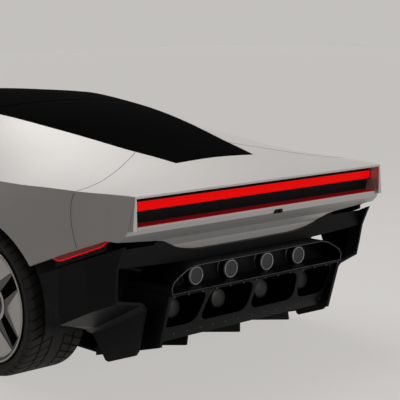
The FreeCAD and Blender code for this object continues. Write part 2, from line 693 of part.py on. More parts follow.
PANEL_FLOOR = PANEL_BACK + v.exhaust_recess
panel = prism("x", hexagon(0), PANEL_BACK,
    PANEL_FRONT).cut(prism("x", hexagon(7), PANEL_BACK - 10, PANEL_FLOOR))
panel = panel.cut(prism("x", hexagon(14), PANEL_FLOOR + 16, PANEL_FRONT + 10))
tip_places = [y * s for y in (v.exhaust_inner_offset, v.exhaust_outer_offset) for s in (-1, 1)]
TIP_Z = v.exhaust_height
TIP_BACK = PANEL_BACK + v.exhaust_set_back
for y in tip_places:
    panel = panel.cut(Part.makeCylinder(v.exhaust_radius + v.seat_gap, 400,
            Vector(PANEL_BACK - 10, y, TIP_Z), Vector(1, 0, 0)))
piece("exhaust_panel", panel)
tips = []
for y in tip_places:
    outer = Part.makeCylinder(v.exhaust_radius, 150, Vector(TIP_BACK, y, TIP_Z), Vector(1, 0, 0))
    inner = Part.makeCylinder(v.exhaust_radius - v.exhaust_wall, 60, Vector(TIP_BACK - 10, y, TIP_Z),
        Vector(1, 0, 0))
    tips.append(outer.cut(inner))
piece("exhaust_tips", Part.makeCompound(tips))

# Diffuser: side walls, a raked frame with four tunnels, fins ahead of it and the ramp of the floor
W = v.diffuser_half_width
DIFF_FRONT = X_REAR - 350
TOP_Z = PANEL_LOW - v.seat_gap
LIP_X, LIP_Z = TAIL + 190, 240.0
FRAME_TOP_X = TAIL + 85
side_wall = prism("y", [(TAIL + 61, TOP_Z), (TAIL + 138, 231), (X_REAR - 640, 178),
        (DIFF_FRONT, v.ground_clearance), (DIFF_FRONT, v.ground_clearance + 40),
                        (X_REAR - 560, TOP_Z - 60), (X_REAR - 600, TOP_Z)], W - v.diffuser_wall, W)
ramp = prism("y", [(LIP_X, LIP_Z), (DIFF_FRONT, v.ground_clearance),
        (DIFF_FRONT, v.ground_clearance + 14), (LIP_X, LIP_Z + 14)], -W, W)
top_plate = box(TAIL + 62, X_REAR - 620, -W, W, TOP_Z - 8, TOP_Z)
frame_slab = prism("y", [(FRAME_TOP_X, TOP_Z), (LIP_X, LIP_Z), (LIP_X + 26, LIP_Z + 4),
        (FRAME_TOP_X + 26, TOP_Z)], -W, W)
fin_tops = [310, 0, -310]
SPLAY = 0.30
WINDOW_CORNER = 44.0


def fin_y(k, z):
    """Y of a fin's middle at a height: each fin leans the same way outwards from the middle."""
    top = fin_tops[k]
    tilt = {0: 1, 1: 0, 2: -1}[k]
    return top + tilt * SPLAY * (TOP_Z - z) * 0.6


def tunnel(k):
    """The opening between two fins, with rounded corners, through the raked frame."""
    high, low = TOP_Z - 14, LIP_Z + 40
    half = v.tunnel_fin / 2

    def right_of(i, z):
        return W - v.diffuser_wall - 2 if i < 0 else fin_y(i, z) - half

    def left_of(i, z):
        return -W + v.diffuser_wall + 2 if i > 2 else fin_y(i, z) + half

    points = [(right_of(k - 1, high), high), (right_of(k - 1, low), low), (left_of(k, low), low),
        (left_of(k, high), high)]
    opening = prism("x", points, TAIL, TAIL + 260)
    corners = [e for e in opening.Edges if abs(e.tangentAt(e.FirstParameter).x) > 0.99]
    return opening.makeFillet(WINDOW_CORNER, corners)


frame = frame_slab.cut([tunnel(k) for k in range(4)])
fins = []
for k in range(3):
    fins.append(prism("x", [(fin_y(k, TOP_Z) - 6, TOP_Z - 4), (fin_y(k, TOP_Z) + 6, TOP_Z - 4),
            (fin_y(k, 150) + 6, 120), (fin_y(k, 150) - 6, 120)],
                      TAIL + 130, X_REAR - 450))
under_ramp = prism("y", [(LIP_X - 100, LIP_Z - 30), (DIFF_FRONT + 50, v.ground_clearance),
        (DIFF_FRONT + 50, 0), (LIP_X - 100, 0)], -FAR, FAR)
over_frame = prism("y", [(FRAME_TOP_X + 20, TOP_Z + 4), (LIP_X + 20, LIP_Z), (LIP_X + 20, 0),
        (LIP_X - 300, 0),
                         (LIP_X - 300, TOP_Z + 4)], -FAR, FAR)
fins = [f.cut([under_ramp, over_frame]) for f in fins]
diffuser = joined([side_wall, across(side_wall), ramp, top_plate, frame] + fins)
piece("diffuser", largest(diffuser))

# Front bumper, splitter and headlamps
nose_rake = prism("y", [(BUMPER_REAR, 0), (at(2) - 40, 0), (at(2) - 25, v.body_bottom), (at(2), 380),
        (at(2) - 12, v.nose_height - 60),
                        (at(2) - 50, 1000), (BUMPER_REAR, 1000)], -FAR, FAR)
nose_round = Part.makeCylinder(1900, 1400, Vector(at(2) - 1900, 0, 0))
shell = body_solid(0, 1.5,
    2.0).common(nose_rake).common(nose_round).common(box(BUMPER_REAR, at(2), -FAR, FAR, 0, 2000))
hollow = body_solid(v.skin_thickness, 1.5,
    2.0).common(box(BUMPER_REAR - 10, at(2) - 190, -FAR, FAR, v.body_bottom - 10, 2000))
bumper = shell.cut(hollow)
intake = prism("x", [(250, 230), (620, 260), (600, 400), (330, 440)], at(2) - 400, at(2) + 50)
grille = prism("x", [(-200, 230), (200, 230), (160, 380), (-160, 380)], at(2) - 400, at(2) + 50)
bumper = bumper.cut([intake, across(intake), grille])
bumper = bumper.cut(prism("y",
        [(BUMPER_REAR - 50, v.nose_height - 40), (at(2) - 130, v.nose_height - 60),
        (at(2) + 50, v.nose_height - 52),
                                (at(2) + 50, v.nose_height - 30), (at(2) - 60, v.nose_height - 26),
        (BUMPER_REAR - 50, v.nose_height + 30)], 430, 900).common(
    box(at(2) - 250, at(2) + 50, 430, 900, 0, 1000)))
bumper = bumper.cut(prism("y",
        [(BUMPER_REAR - 50, v.nose_height - 40), (at(2) - 130, v.nose_height - 60),
        (at(2) + 50, v.nose_height - 52),
                                (at(2) + 50, v.nose_height - 30), (at(2) - 60, v.nose_height - 26),
        (BUMPER_REAR - 50, v.nose_height + 30)], -900, -430).common(
    box(at(2) - 250, at(2) + 50, -900, -430, 0, 1000)))
chin = box(at(2) - 200, at(2) - 120, -560, 560, v.ground_clearance + 16 + v.seat_gap, v.body_bottom + 20)
tow_eye = Part.makeCylinder(8, 200, Vector(at(2) - 110, -350, 490), Vector(1, 0, 0))
bumper = joined([largest(bumper), chin]).cut(tow_eye)
piece("front_bumper", largest(bumper))
NOSE_HALF = HALF - 230
splitter = Part.makeCylinder(1900, 16, Vector(at(2) - 1900, 0, v.ground_clearance)).common(
    box(X_FRONT + 430, at(2), -NOSE_HALF, NOSE_HALF, 0, 1000))

# Floor, cabin tub, sills
FLOOR_Z = v.ground_clearance
FLOOR_TOP = FLOOR_Z + 16 + v.seat_gap
under = box(DIFF_FRONT + v.seat_gap, X_FRONT + 430, -HALF + 100, HALF - 100, FLOOR_Z, FLOOR_Z + 16)
under = under.fuse(box(X_FRONT + 400, X_FRONT + 560, -NOSE_HALF, NOSE_HALF, FLOOR_Z, FLOOR_Z + 16))
room_rear = box(X_REAR - 450, X_REAR + 450, 560, FAR, 0, 800)
room_front = box(X_FRONT - 430, X_FRONT + 430, 520, FAR, 0, 800)
under = under.cut([room_rear, across(room_rear), room_front, across(room_front)])
pads = [Part.makeCylinder(40, 24, Vector(x, y * 820, FLOOR_Z - 16)) for x in (860, -880) for y in (1, -1)]
piece("underfloor", joined([under, splitter] + pads))
TUB_REAR = at(0.28)
TUB_FRONT = X_FRONT - 290
TUB_HALF = 800.0
tub_floor = box(TUB_REAR, TUB_FRONT, -TUB_HALF, TUB_HALF, FLOOR_Z + 16 + v.seat_gap,
    FLOOR_Z + 16 + v.floor_thickness)
bulkhead = box(TUB_REAR, TUB_REAR + 40, -TUB_HALF + 60, TUB_HALF - 60, FLOOR_Z + 20, 1180)
front_bulkhead = box(TUB_FRONT - 40, TUB_FRONT, -700, 700, FLOOR_Z + 20, 740)
tunnel_box = box(TUB_REAR, TUB_FRONT, -110, 110, FLOOR_Z + 20, 330)
inner_body = body_solid(v.skin_thickness + 2, 0.2, 1.05)
posts = []
for z in HINGE_Z:
    arm = box(HINGE_X - HINGE_EYE, HINGE_X + HINGE_EYE, HINGE_Y - 130, HINGE_Y, z - HINGE_ARM / 2,
        z + HINGE_ARM / 2)
    eye = Part.makeCylinder(HINGE_EYE, HINGE_ARM, Vector(HINGE_X, HINGE_Y, z - HINGE_ARM / 2))
    pin = Part.makeCylinder(v.pin_radius, 60, Vector(HINGE_X, HINGE_Y, z - 30))
    posts.append(arm.fuse([eye, pin]))
post = box(HINGE_X - 30, HINGE_X + 30, HINGE_Y - 160, HINGE_Y - 112, FLOOR_Z + 20, HINGE_Z[1] + 30)
post_foot = box(HINGE_X - 30, HINGE_X + 30, TUB_HALF - 60, HINGE_Y - 112, FLOOR_Z + 16 + v.seat_gap,
    FLOOR_Z + 60)
sill_front = DOOR_FRONT + 90
sill = prism("x", [(HALF - 210, FLOOR_Z + 16 + v.seat_gap), (HALF - 80, FLOOR_Z + 16 + v.seat_gap),
        (HALF - 62, FLOOR_Z + 60), (HALF - 74, SILL_TOP - v.door_gap),
                   (HALF - 190, SILL_TOP - v.door_gap)], X_REAR + v.rear_arch_radius + 25, sill_front)
sill = sill.cut([box(-3000, DOOR_REAR - 3, HALF - 130, HALF, v.body_bottom - v.seat_gap, 400),
                 box(DOOR_FRONT + 3, 3000, HALF - 130, HALF, v.body_bottom - v.seat_gap, 400)])
tub = joined([sill, across(sill), tub_floor, bulkhead.common(inner_body),
        front_bulkhead.common(inner_body), tunnel_box, post, post_foot] + posts
             + [across(s) for s in [post, post_foot] + posts])
# Room for the front tyres at full lock
steer_room = Part.makeCylinder(418, 700,
    Vector(X_FRONT, HALF - 25 - v.wheel_face_inset - 212, 0)).common(box(0, 3000, 490, FAR, 0, 700))
tub = tub.cut([steer_room, across(steer_room)])
piece("cabin_tub", largest(tub))
# Engine, one plain block behind the bulkhead
ENGINE_Z = 170.0
engine = doc.addObject("Part::Box", "engine_block")
engine.Label = "engine_block"
bound(engine, Length=d.engine_length, Width=d.engine_width, Height=d.engine_height)
engine.Placement = Placement(Vector(0, 0, ENGINE_Z), Rotation())
engine.setExpression("Placement.Base.x",
    (rear_axle + d.wheelbase * 0.28 - d.engine_gap - d.engine_length).text)
engine.setExpression("Placement.Base.y", (-d.engine_width / 2).text)
NODES.append(engine)

# Seats: a cushion and a back each, in one moulded shell
seat_profile = [(0, 0), (470, 60), (500, 130), (460, 170), (120, 110), (60, 150), (-210, 720),
    (-290, 760), (-330, 720), (-120, 60)]
SEAT_X = at(0.42)
SEAT_Z = FLOOR_Z + 16 + v.floor_thickness + v.seat_gap
seat_outline = [(SEAT_X + x, SEAT_Z + z) for x, z in seat_profile]
SEAT_Y = 400.0
seat = prism("y", seat_outline, SEAT_Y - v.seat_width / 2, SEAT_Y + v.seat_width / 2)
piece("seats", both(seat))

# Dashboard and steering wheel
DASH_X = TUB_FRONT - 330
dash = prism("y", [(DASH_X, 640), (DASH_X - 30, 700), (DASH_X + 20, 790), (DASH_X + 290, 800),
        (DASH_X + 290, 560), (DASH_X + 120, 560)], -690, 690)
dash = largest(dash.common(body_solid(v.skin_thickness + 16, 0.5, 1.05)))
WHEEL_TILT = math.radians(22)
COLUMN = Vector(math.cos(WHEEL_TILT), 0, -math.sin(WHEEL_TILT))
WHEEL_CENTRE = Vector(DASH_X - 150, SEAT_Y, 700)
column_pin = rod(WHEEL_CENTRE + COLUMN * 20, WHEEL_CENTRE + COLUMN * 260, 16)
dash = dash.fuse(column_pin).removeSplitter()
piece("dashboard", largest(dash))
rim_middle = v.steering_wheel_radius - v.steering_rim_radius
rim_corners = []
for k in range(8):
    turn_by = math.radians(22.5 + 45 * k)
    rim_corners.append(WHEEL_CENTRE + Vector(0, rim_middle + v.steering_rim_radius * math.cos(turn_by), 0)
                       + COLUMN * (v.steering_rim_radius * math.sin(turn_by)))
rim = Part.Face(Part.makePolygon(rim_corners + rim_corners[:1])).revolve(WHEEL_CENTRE, COLUMN, 360)
hub = rod(WHEEL_CENTRE - COLUMN * 12, WHEEL_CENTRE + COLUMN * 70, 34)
spokes = []
for angle in (0, 180, 270):
    way = Rotation(COLUMN, angle).multVec(Vector(0, 1, 0))
    spokes.append(rod(WHEEL_CENTRE,
            WHEEL_CENTRE + way * (v.steering_wheel_radius - v.steering_rim_radius), 10))
steer = joined([rim, hub] + spokes).cut(rod(WHEEL_CENTRE + COLUMN * 16, WHEEL_CENTRE + COLUMN * 90,
        16 + v.bearing_play))
piece("steering_wheel", largest(steer))

# Mirrors, on the doors
mirror_x = DOOR_FRONT - 130
foot_y = feature_points(station(mirror_x))[2][0]


def mirror_ring(x, half_wide, half_high, drop):
    """An oval outline of the mirror housing."""
    centre = Vector(x, foot_y + 62, belt(mirror_x) + 78 - drop)
    oval = Part.Ellipse(centre + Vector(0, half_wide, 0), centre + Vector(0, 0, half_high), centre)
    return Part.Wire(oval.toShape())


head = Part.makeLoft([mirror_ring(mirror_x - 34, 104, 50, 0), mirror_ring(mirror_x, 106, 52, 0),
        mirror_ring(mirror_x + 40, 88, 42, 3),
                      mirror_ring(mirror_x + 72, 44, 20, 6)], True, True)
stalk = rod(Vector(mirror_x + 10, foot_y - 30, belt(mirror_x) - 60),
    Vector(mirror_x + 10, foot_y + 60, belt(mirror_x) + 60), 12)
mirror = largest(joined([head, stalk]).cut(body_solid(-v.seat_gap, 0.6, 0.93)))
piece("mirror_left", mirror)
piece("mirror_right", across(mirror))
lamp = prism("y", [(at(2) - 128, v.nose_height - 59), (at(2) - 20, v.nose_height - 53),
        (at(2) - 30, v.nose_height - 34), (at(2) - 128, v.nose_height - 28)],
             440, 890).common(body_solid(4, 1.5, 2.0)).common(Part.makeCylinder(1892, 1400,
        Vector(at(2) - 1900, 0, 0)))
piece("headlamps", both(largest(lamp)))


# Wheels: each is a tyre and a rim on its own axle, modelled about Y and placed at its hub
def plane_of(body, role):
    return [item for item in body.Origin.OriginFeatures if item.Role == role][0]


def sketched(body, role, corners, name):
    """A closed outline whose corners are tied to the sheet where they are Sizes."""
    sketch = body.newObject("Sketcher::SketchObject", name)
    sketch.AttachmentSupport = [(plane_of(body, role), "")]
    sketch.MapMode = "FlatFace"
    count = len(corners)
    for i in range(count):
        a, b = corners[i], corners[(i + 1) % count]
        sketch.addGeometry(Part.LineSegment(Vector(float(a[0]), float(a[1]), 0),
                Vector(float(b[0]), float(b[1]), 0)), False)
    for i in range(count):
        sketch.addConstraint(Sketcher.Constraint("Coincident", i, 2, (i + 1) % count, 1))
    for i, corner in enumerate(corners):
        for way, size in zip(("DistanceX", "DistanceY"), corner):
            number = sketch.addConstraint(Sketcher.Constraint(way, -1, 1, i, 1, float(size)))
            if isinstance(size, Size):
                sketch.setExpression("Constraints[%d]" % number, size.text)
    return sketch


def turned(label, corners):
    """A body revolved about Y from an outline of (radius, y) corners."""
    body = doc.addObject("PartDesign::Body", label)
    body.Label = label
    sketch = sketched(body, "XY_Plane", corners, label + "_section")
    turn = body.newObject("PartDesign::Revolution", label + "_turn")
    turn.Profile = sketch
    turn.ReferenceAxis = (sketch, ["V_Axis"])
    turn.Angle = 360
    NODES.append(body)
    return body


def add_pattern(body, feature, count, label):
    pattern = body.newObject("PartDesign::PolarPattern", label)
    pattern.Originals = [feature]
    pattern.Axis = (plane_of(body, "Y_Axis"), [""])
    pattern.Angle = 360
    pattern.Occurrences = count
    body.Tip = pattern
    return pattern


def tyre_section(radius, rim_radius, width):
    """Half of a low tyre with a flat tread and rounded shoulders; the wheel's outer face is at y = 0."""
    edge = radius - 14
    bead = rim_radius + 0.3
    return [(bead, -26.0), (rim_radius + 22, -4.0), (radius - 34, 0.0), (edge, -6.0), (radius - 4, -20.0),
        (radius, -44.0),
            (radius, 44 - width), (radius - 4, 20 - width), (edge, 6 - width), (radius - 34, -width),
        (rim_radius + 22, 4 - width),
            (bead, 26 - width)]


def rim_section(rim_radius, width):
    """Barrel, dished face and hub of a wheel, with the bore for its spindle."""
    wall = d.rim_wall
    return [(rim_radius, -4.0), (rim_radius, 4 - width), (rim_radius - wall, 4 - width),
        (rim_radius - wall - 8, -70.0),
            (d.hub_bore_radius + 40, -95.0), (d.hub_bore_radius + 40, -116.0), (d.disc_radius, -116.0),
            (d.disc_radius, -116 - d.disc_thickness), (d.hub_bore_radius, -116 - d.disc_thickness),
        (d.hub_bore_radius, -60.0),
            (0.0, -60.0), (0.0, -38.0), (70.0, -38.0), (rim_radius - wall - 22, -18.0),
        (rim_radius - wall - 4, -4.0)]


# The wheel's five windows, turned from upright
WINDOW_TURN = math.radians(15.6)
wheels = {"front": (d.front_tyre_radius, d.front_rim_radius, d.front_tyre_width, front_axle, X_FRONT),
          "rear": (d.rear_tyre_radius, d.rear_rim_radius, d.rear_tyre_width, rear_axle, X_REAR)}
for end, (radius, rim_radius, width, axle, x) in wheels.items():
    face = {"front": HALF - 25, "rear": HALF}[end] - v.wheel_face_inset
    for side_name, sign in (("left", 1), ("right", -1)):
        turn_round = Rotation(Vector(0, 0, 1), 0 if sign > 0 else 180)
        tyre = turned("tyre_%s_%s" % (end, side_name), tyre_section(radius, rim_radius, width))
        rim = turned("rim_%s_%s" % (end, side_name), rim_section(rim_radius, width))
        window_cut = rim.newObject("PartDesign::Pocket", rim.Label + "_window")
        outline_window = []
        for r, a in ((96.0, -0.26), (96.0, 0.26), (float(rim_radius) - 34, 0.14),
            (float(rim_radius) - 34, -0.14)):
            a += WINDOW_TURN
            outline_window.append((r * math.sin(a), r * math.cos(a)))
        window_cut.Profile = sketched(rim, "XZ_Plane", outline_window, rim.Label + "_window_outline")
        window_cut.Type = 1
        window_cut.Midplane = True
        doc.recompute()
        add_pattern(rim, window_cut, 5, rim.Label + "_windows")
        for wheel_part in (tyre, rim):
            wheel_part.Placement = Placement(Vector(x, sign * face, float(radius)), turn_round)
            wheel_part.setExpression("Placement.Base.x", axle.text)
            wheel_part.setExpression("Placement.Base.z", radius.text)

# Uprights with their spindles, calipers and discs' places, and the arms that carry them
for end, (radius, rim_radius, width, axle, x) in wheels.items():
    face = {"front": HALF - 25, "rear": HALF}[end] - v.wheel_face_inset
    z = float(radius)
    flange = Part.makeCylinder(95, 38, Vector(x, face - 118 - v.disc_thickness - 38, z), Vector(0, 1, 0))
    spindle = Part.makeCylinder(v.hub_bore_radius - v.bearing_play, 152 - 62, Vector(x, face - 152, z),
        Vector(0, 1, 0))
    body_block = box(x - 40, x + 40, face - 232, face - 192, z - 130, z + 130)
    caliper = box(x - 235, x - 120, face - 192, face - 98, z - 60, z + 60)
    disc_room = Part.makeCylinder(v.disc_radius + 5, v.disc_thickness + 10,
        Vector(x, face - 121 - v.disc_thickness, z), Vector(0, 1, 0))
    caliper = caliper.cut(disc_room)
    bridge = box(x - 235, x, face - 192, face - 180, z - 50, z + 50)
    upright = joined([spindle, flange, body_block, caliper, bridge])
    inside = Part.makeCylinder(float(rim_radius) - v.rim_wall - 14, 400, Vector(x, face - 400, z),
        Vector(0, 1, 0))
    upright = largest(upright.common(inside))
    piece("upright_%s_left" % end, upright)
    piece("upright_%s_right" % end, across(upright))
    arms = []
    pivot_y = face - 212
    for level in (-130, 130):
        top = z + level
        eye = Part.makeCylinder(16, 24, Vector(x, pivot_y, top + (0.3 if level > 0 else -24.3)))
        for dx in (-150, 150):
            arms.append(rod(Vector(x, pivot_y, top + (12.3 if level > 0 else -12.3)),
                    Vector(x + dx, 330, top + (12.3 if level > 0 else -12.3)), 11))
        arms.append(eye)
        arms.append(rod(Vector(x - 170, 330, top + (12.3 if level > 0 else -12.3)),
                Vector(x + 170, 330, top + (12.3 if level > 0 else -12.3)), 15))
    side_arms = [joined(arms[:4]), joined(arms[4:])]
    members = [box(x - 185, x - 155, -345, 345, FLOOR_TOP, z + 165)]
    if end == "rear":
        members += [box(x - 185, TUB_REAR - v.seat_gap, sign * 250 - 20, sign * 250 + 20, FLOOR_TOP,
                ENGINE_Z - v.seat_gap) for sign in (1, -1)]
    piece("%s_suspension" % end, joined(members + side_arms + [across(s) for s in side_arms]))

doc.recompute()

# Every object has to be sound before anything is written
for item in doc.Objects:
    if "Invalid" in item.State or "Error" in item.State:
        raise RuntimeError("%s did not build: %s" % (item.Label, item.State))
unsound = [item.Label for item in NODES if item.Shape.isNull() or not item.Shape.isValid()
    or not item.Shape.Solids]
if unsound:
    raise RuntimeError("No sound solid in " + ", ".join(unsound))
os.makedirs("parts", exist_ok=True)
for item in NODES:
    item.Shape.exportStep("parts/%s.step" % item.Label)
box_all = Part.makeCompound([item.Shape for item in NODES]).BoundBox
print("%d nodes, %.0f x %.0f x %.0f mm" % (len(NODES), box_all.XLength, box_all.YLength, box_all.ZLength))
print("x %.1f to %.1f, z %.1f to %.1f" % (box_all.XMin, box_all.XMax, box_all.ZMin, box_all.ZMax))
for item in NODES:
    print("%-22s %2d solids %8.2f dm3" % (item.Label, len(item.Shape.Solids), item.Shape.Volume / 1e6))
print("door hinge x %.1f y %.1f z %.0f and %.0f" % (HINGE_X, HINGE_Y, HINGE_Z[0], HINGE_Z[1]))
print("front lid hinge x %.1f z %.1f, rear glass hinge x %.1f z %.1f" % (LID_AXIS_X, LID_AXIS_Z,
        GLASS_AXIS_X, GLASS_AXIS_Z))
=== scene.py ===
# %% [markdown]
# # A silver supercar seen from behind
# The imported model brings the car's solids: body panels, doors, lids, glass, wheels, cabin and engine. This lesson
# gives each of them a finish and adds what is too fine for the solids, such as tread, mesh, bolts and seams.

import json
import math

import bmesh
import bpy
from mathutils import Matrix, Vector
from mathutils.bvhtree import BVHTree


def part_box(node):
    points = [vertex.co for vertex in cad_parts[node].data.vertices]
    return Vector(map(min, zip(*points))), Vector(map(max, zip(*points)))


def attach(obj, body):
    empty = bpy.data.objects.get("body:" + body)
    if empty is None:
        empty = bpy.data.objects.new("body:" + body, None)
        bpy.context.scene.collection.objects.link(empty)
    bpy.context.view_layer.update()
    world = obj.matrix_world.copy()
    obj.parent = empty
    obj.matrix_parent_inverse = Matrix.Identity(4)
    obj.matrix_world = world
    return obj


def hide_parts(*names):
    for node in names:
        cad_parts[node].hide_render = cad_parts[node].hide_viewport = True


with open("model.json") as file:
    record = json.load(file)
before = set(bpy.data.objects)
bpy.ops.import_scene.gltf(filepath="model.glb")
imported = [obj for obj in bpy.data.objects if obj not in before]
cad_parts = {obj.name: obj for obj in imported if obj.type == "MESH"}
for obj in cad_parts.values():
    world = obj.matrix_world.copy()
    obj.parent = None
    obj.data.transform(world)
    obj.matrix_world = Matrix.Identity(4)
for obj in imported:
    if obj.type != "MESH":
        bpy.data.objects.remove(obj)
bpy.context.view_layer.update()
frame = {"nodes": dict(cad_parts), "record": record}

# %% [markdown]
# The photograph was taken from behind and to the left with a long lens, a little above the roof. The numbers below
# come from fitting the tail's corners, the wheel and the exhaust tips to their places in the picture.

# %% Camera
CAMERA_PLACE = Vector((-6.333, 4.122, 1.730))
CAMERA_YAW, CAMERA_PITCH, CAMERA_ROLL = -0.744, -0.147, -0.008
CAMERA_LENS = 107.87


def camera_turn(yaw, pitch, roll):
    """The rotation of a camera that looks along yaw and pitch, tipped by roll."""
    ahead = Vector((math.cos(yaw) * math.cos(pitch), math.sin(yaw) * math.cos(pitch), math.sin(pitch)))
    right = Vector((math.sin(yaw), -math.cos(yaw), 0))
    up = right.cross(ahead)
    right, up = right * math.cos(roll) + up * math.sin(roll), up * math.cos(roll) - right * math.sin(roll)
    return Matrix((right, up, -ahead)).transposed().to_4x4()


camera = bpy.data.objects.new("camera", bpy.data.cameras.new("camera"))
bpy.context.scene.collection.objects.link(camera)
camera.matrix_world = Matrix.Translation(CAMERA_PLACE) @ camera_turn(CAMERA_YAW, CAMERA_PITCH, CAMERA_ROLL)
camera.data.lens = CAMERA_LENS
camera.data.sensor_width = 36
camera.data.clip_end = 200
bpy.context.scene.camera = camera
bpy.context.scene.view_settings.view_transform = "Standard"
print("camera", [round(c, 3) for c in CAMERA_PLACE], "lens", CAMERA_LENS)

# %% [markdown]
# A material is a small tree of nodes. One function adds a node with its settings and links, and one turns a colour
# written as sRGB hex into the linear numbers that the shader needs.

# %% Node helper and colours
made_finishes = []


def linear(code):
    """A colour such as #C8C8C6 as linear red, green, blue and alpha."""
    def channel(value):
        value /= 255
        return value / 12.92 if value <= 0.04045 else ((value + 0.055) / 1.055) ** 2.4
    return tuple(channel(int(code[i:i + 2], 16)) for i in (1, 3, 5)) + (1.0,)


def add_node(tree, kind, inputs=None, feeds=None, **settings):
    """A node with its settings. Inputs are values or other nodes' outputs; feeds is an output and what it drives."""
    item = tree.nodes.new(kind)
    for name, value in settings.items():
        setattr(item, name, value)
    for name, value in (inputs or {}).items():
        if isinstance(value, bpy.types.NodeSocket):
            tree.links.new(value, item.inputs[name])
        else:
            item.inputs[name].default_value = value
    if feeds:
        tree.links.new(item.outputs[feeds[0]], feeds[1])
    return item


def new_material(name, colour, **shader):
    """A material with one principled shader; colour is hex. Returns the material, its tree and its shader."""
    made_finishes.append(name)
    material = bpy.data.materials.new(name)
    material.use_nodes = True
    tree = material.node_tree
    body = tree.nodes["Principled BSDF"]
    body.inputs["Base Color"].default_value = linear(colour)
    for key, value in shader.items():
        body.inputs[key.replace("_", " ")].default_value = value
    return material, tree, body


print("the silver in linear light", [round(c, 3) for c in linear("#D2D1CF")[:3]])

# %% [markdown]
# No real surface is the same all over. The functions below vary a finish in soft patches of a real size: its gloss,
# its colour or its height. A picture could do that too, but a noise pattern on the object's own coordinates has no
# seams, has no fixed resolution and stays where it is when a door or a wheel moves.

# %% Patterns for surfaces


def object_noise(tree, size, detail):
    """Soft patches of a size in metres, tied to the object."""
    place = add_node(tree, "ShaderNodeTexCoord").outputs["Object"]
    return add_node(tree, "ShaderNodeTexNoise", {"Vector": place, "Scale": 1 / size, "Detail": detail}).outputs["Fac"]


def mottled(tree, body, size, low, high):
    """Varies the roughness between low and high in patches of a size in metres."""
    add_node(tree, "ShaderNodeMapRange", {"Value": object_noise(tree, size, 3.0), "To Min": low, "To Max": high},
             ("Result", body.inputs["Roughness"]))


def tinted(tree, body, size, first, second):
    """Mixes two colours in patches of a size in metres."""
    add_node(tree, "ShaderNodeMix", {0: object_noise(tree, size, 4.0), 6: linear(first), 7: linear(second)},
             (2, body.inputs["Base Color"]), data_type="RGBA")


def noise_bump(tree, body, size, distance, strength):
    """Raises the surface in patches of a size, up to a distance, both in metres."""
    add_node(tree, "ShaderNodeBump", {"Height": object_noise(tree, size, 2.0), "Distance": distance,
                                      "Strength": strength}, ("Normal", body.inputs["Normal"]))


print("patterns: gloss, colour and height")

# %% [markdown]
# The body is a satin silver: aluminium flakes under a clear coat that is only half polished, so it shows broad soft
# highlights and no sharp reflections. Flakes are about 0.1 mm, far finer than a pixel, so they are drawn 4 mm
# across and very weak. The roof and rear glass are a black panel that swallows nearly all light, and the windows
# are laminated glass with a dark film. Each could be a plain colour, but the eye reads the finish from the way the
# highlight spreads, so every one has its own roughness and a little unevenness.

# %% Paints and glass
# Base coat and sprayed clear coat: wide, soft highlights. The clear coat's waves are about 12 mm long.
silver_paint, tree, body = new_material("satin silver paint", "#D2D1CF", Metallic=0.25, Roughness=0.42,
                                        Specular_IOR_Level=0.35, Coat_Weight=0.1, Coat_Roughness=0.3)
tinted(tree, body, 0.004, "#D0CDCA", "#D8D5D2")
noise_bump(tree, body, 0.012, 0.0001, 0.3)
# Polished black panel: deep black with the faintest sheen. The pressed glass is uneven over about 250 mm.
gloss_black, tree, body = new_material("gloss black glass panel", "#050506", Roughness=0.22,
                                       Specular_IOR_Level=0.0, Coat_Weight=0.015, Coat_Roughness=0.08)
mottled(tree, body, 0.25, 0.14, 0.22)
noise_bump(tree, body, 0.02, 0.0001, 0.2)
# Float glass with a dark film between its sheets: it lets a hint of the cabin through. Wiping marks of 300 mm.
dark_glass, tree, body = new_material("tinted laminated glass", "#0A0C0D", Roughness=0.06, IOR=1.45, Alpha=0.8,
                                      Specular_IOR_Level=0.2)
mottled(tree, body, 0.3, 0.05, 0.09)
# Moulded clear lens: sharp glints over the lamps. The moulding's flow shows in patches of 100 mm.
clear_glass, tree, body = new_material("clear polycarbonate lens", "#DDE2E4", Roughness=0.05, IOR=1.58, Alpha=0.35)
mottled(tree, body, 0.1, 0.04, 0.08)
print("paints and glass:", ", ".join(made_finishes))

# %% [markdown]
# The lower rear is satin carbon fibre: black tows woven 2 by 2 under a matt lacquer. A tow is 2 mm wide; it is drawn
# 6 mm wide so that a hint of the weave survives in the picture.

# %% Dark mouldings and carbon fibre
TOW = 0.006
BRAID = 0.004


def woven(tree, body, tow):
    """A twill of darker and lighter tows, used for roughness and a faint bump."""
    split = add_node(tree, "ShaderNodeSeparateXYZ",
                     {"Vector": add_node(tree, "ShaderNodeTexCoord").outputs["Object"]}).outputs
    waves = []
    for first, operation in (("X", "ADD"), ("Y", "SUBTRACT")):
        along = add_node(tree, "ShaderNodeMath", {0: split[first], 1: split["Z"]}, operation=operation)
        scaled = add_node(tree, "ShaderNodeMath", {0: along.outputs[0], 1: math.pi / tow}, operation="MULTIPLY")
        waves.append(add_node(tree, "ShaderNodeMath", {0: scaled.outputs[0]}, operation="SINE").outputs[0])
    product = add_node(tree, "ShaderNodeMath", {0: waves[0], 1: waves[1]}, operation="MULTIPLY").outputs[0]
    add_node(tree, "ShaderNodeMapRange", {"Value": product, "From Min": -1.0, "From Max": 1.0, "To Min": 0.34,
                                          "To Max": 0.46}, ("Result", body.inputs["Roughness"]))
    add_node(tree, "ShaderNodeBump", {"Height": product, "Distance": 0.0001, "Strength": 0.25},
             ("Normal", body.inputs["Normal"]))


# Pressed carbon under a matt lacquer: nearly black, with a weave that only shows in its gloss.
carbon, tree, body = new_material("satin carbon fibre", "#0D0D0E", Roughness=0.42, Specular_IOR_Level=0.1)
woven(tree, body, TOW)
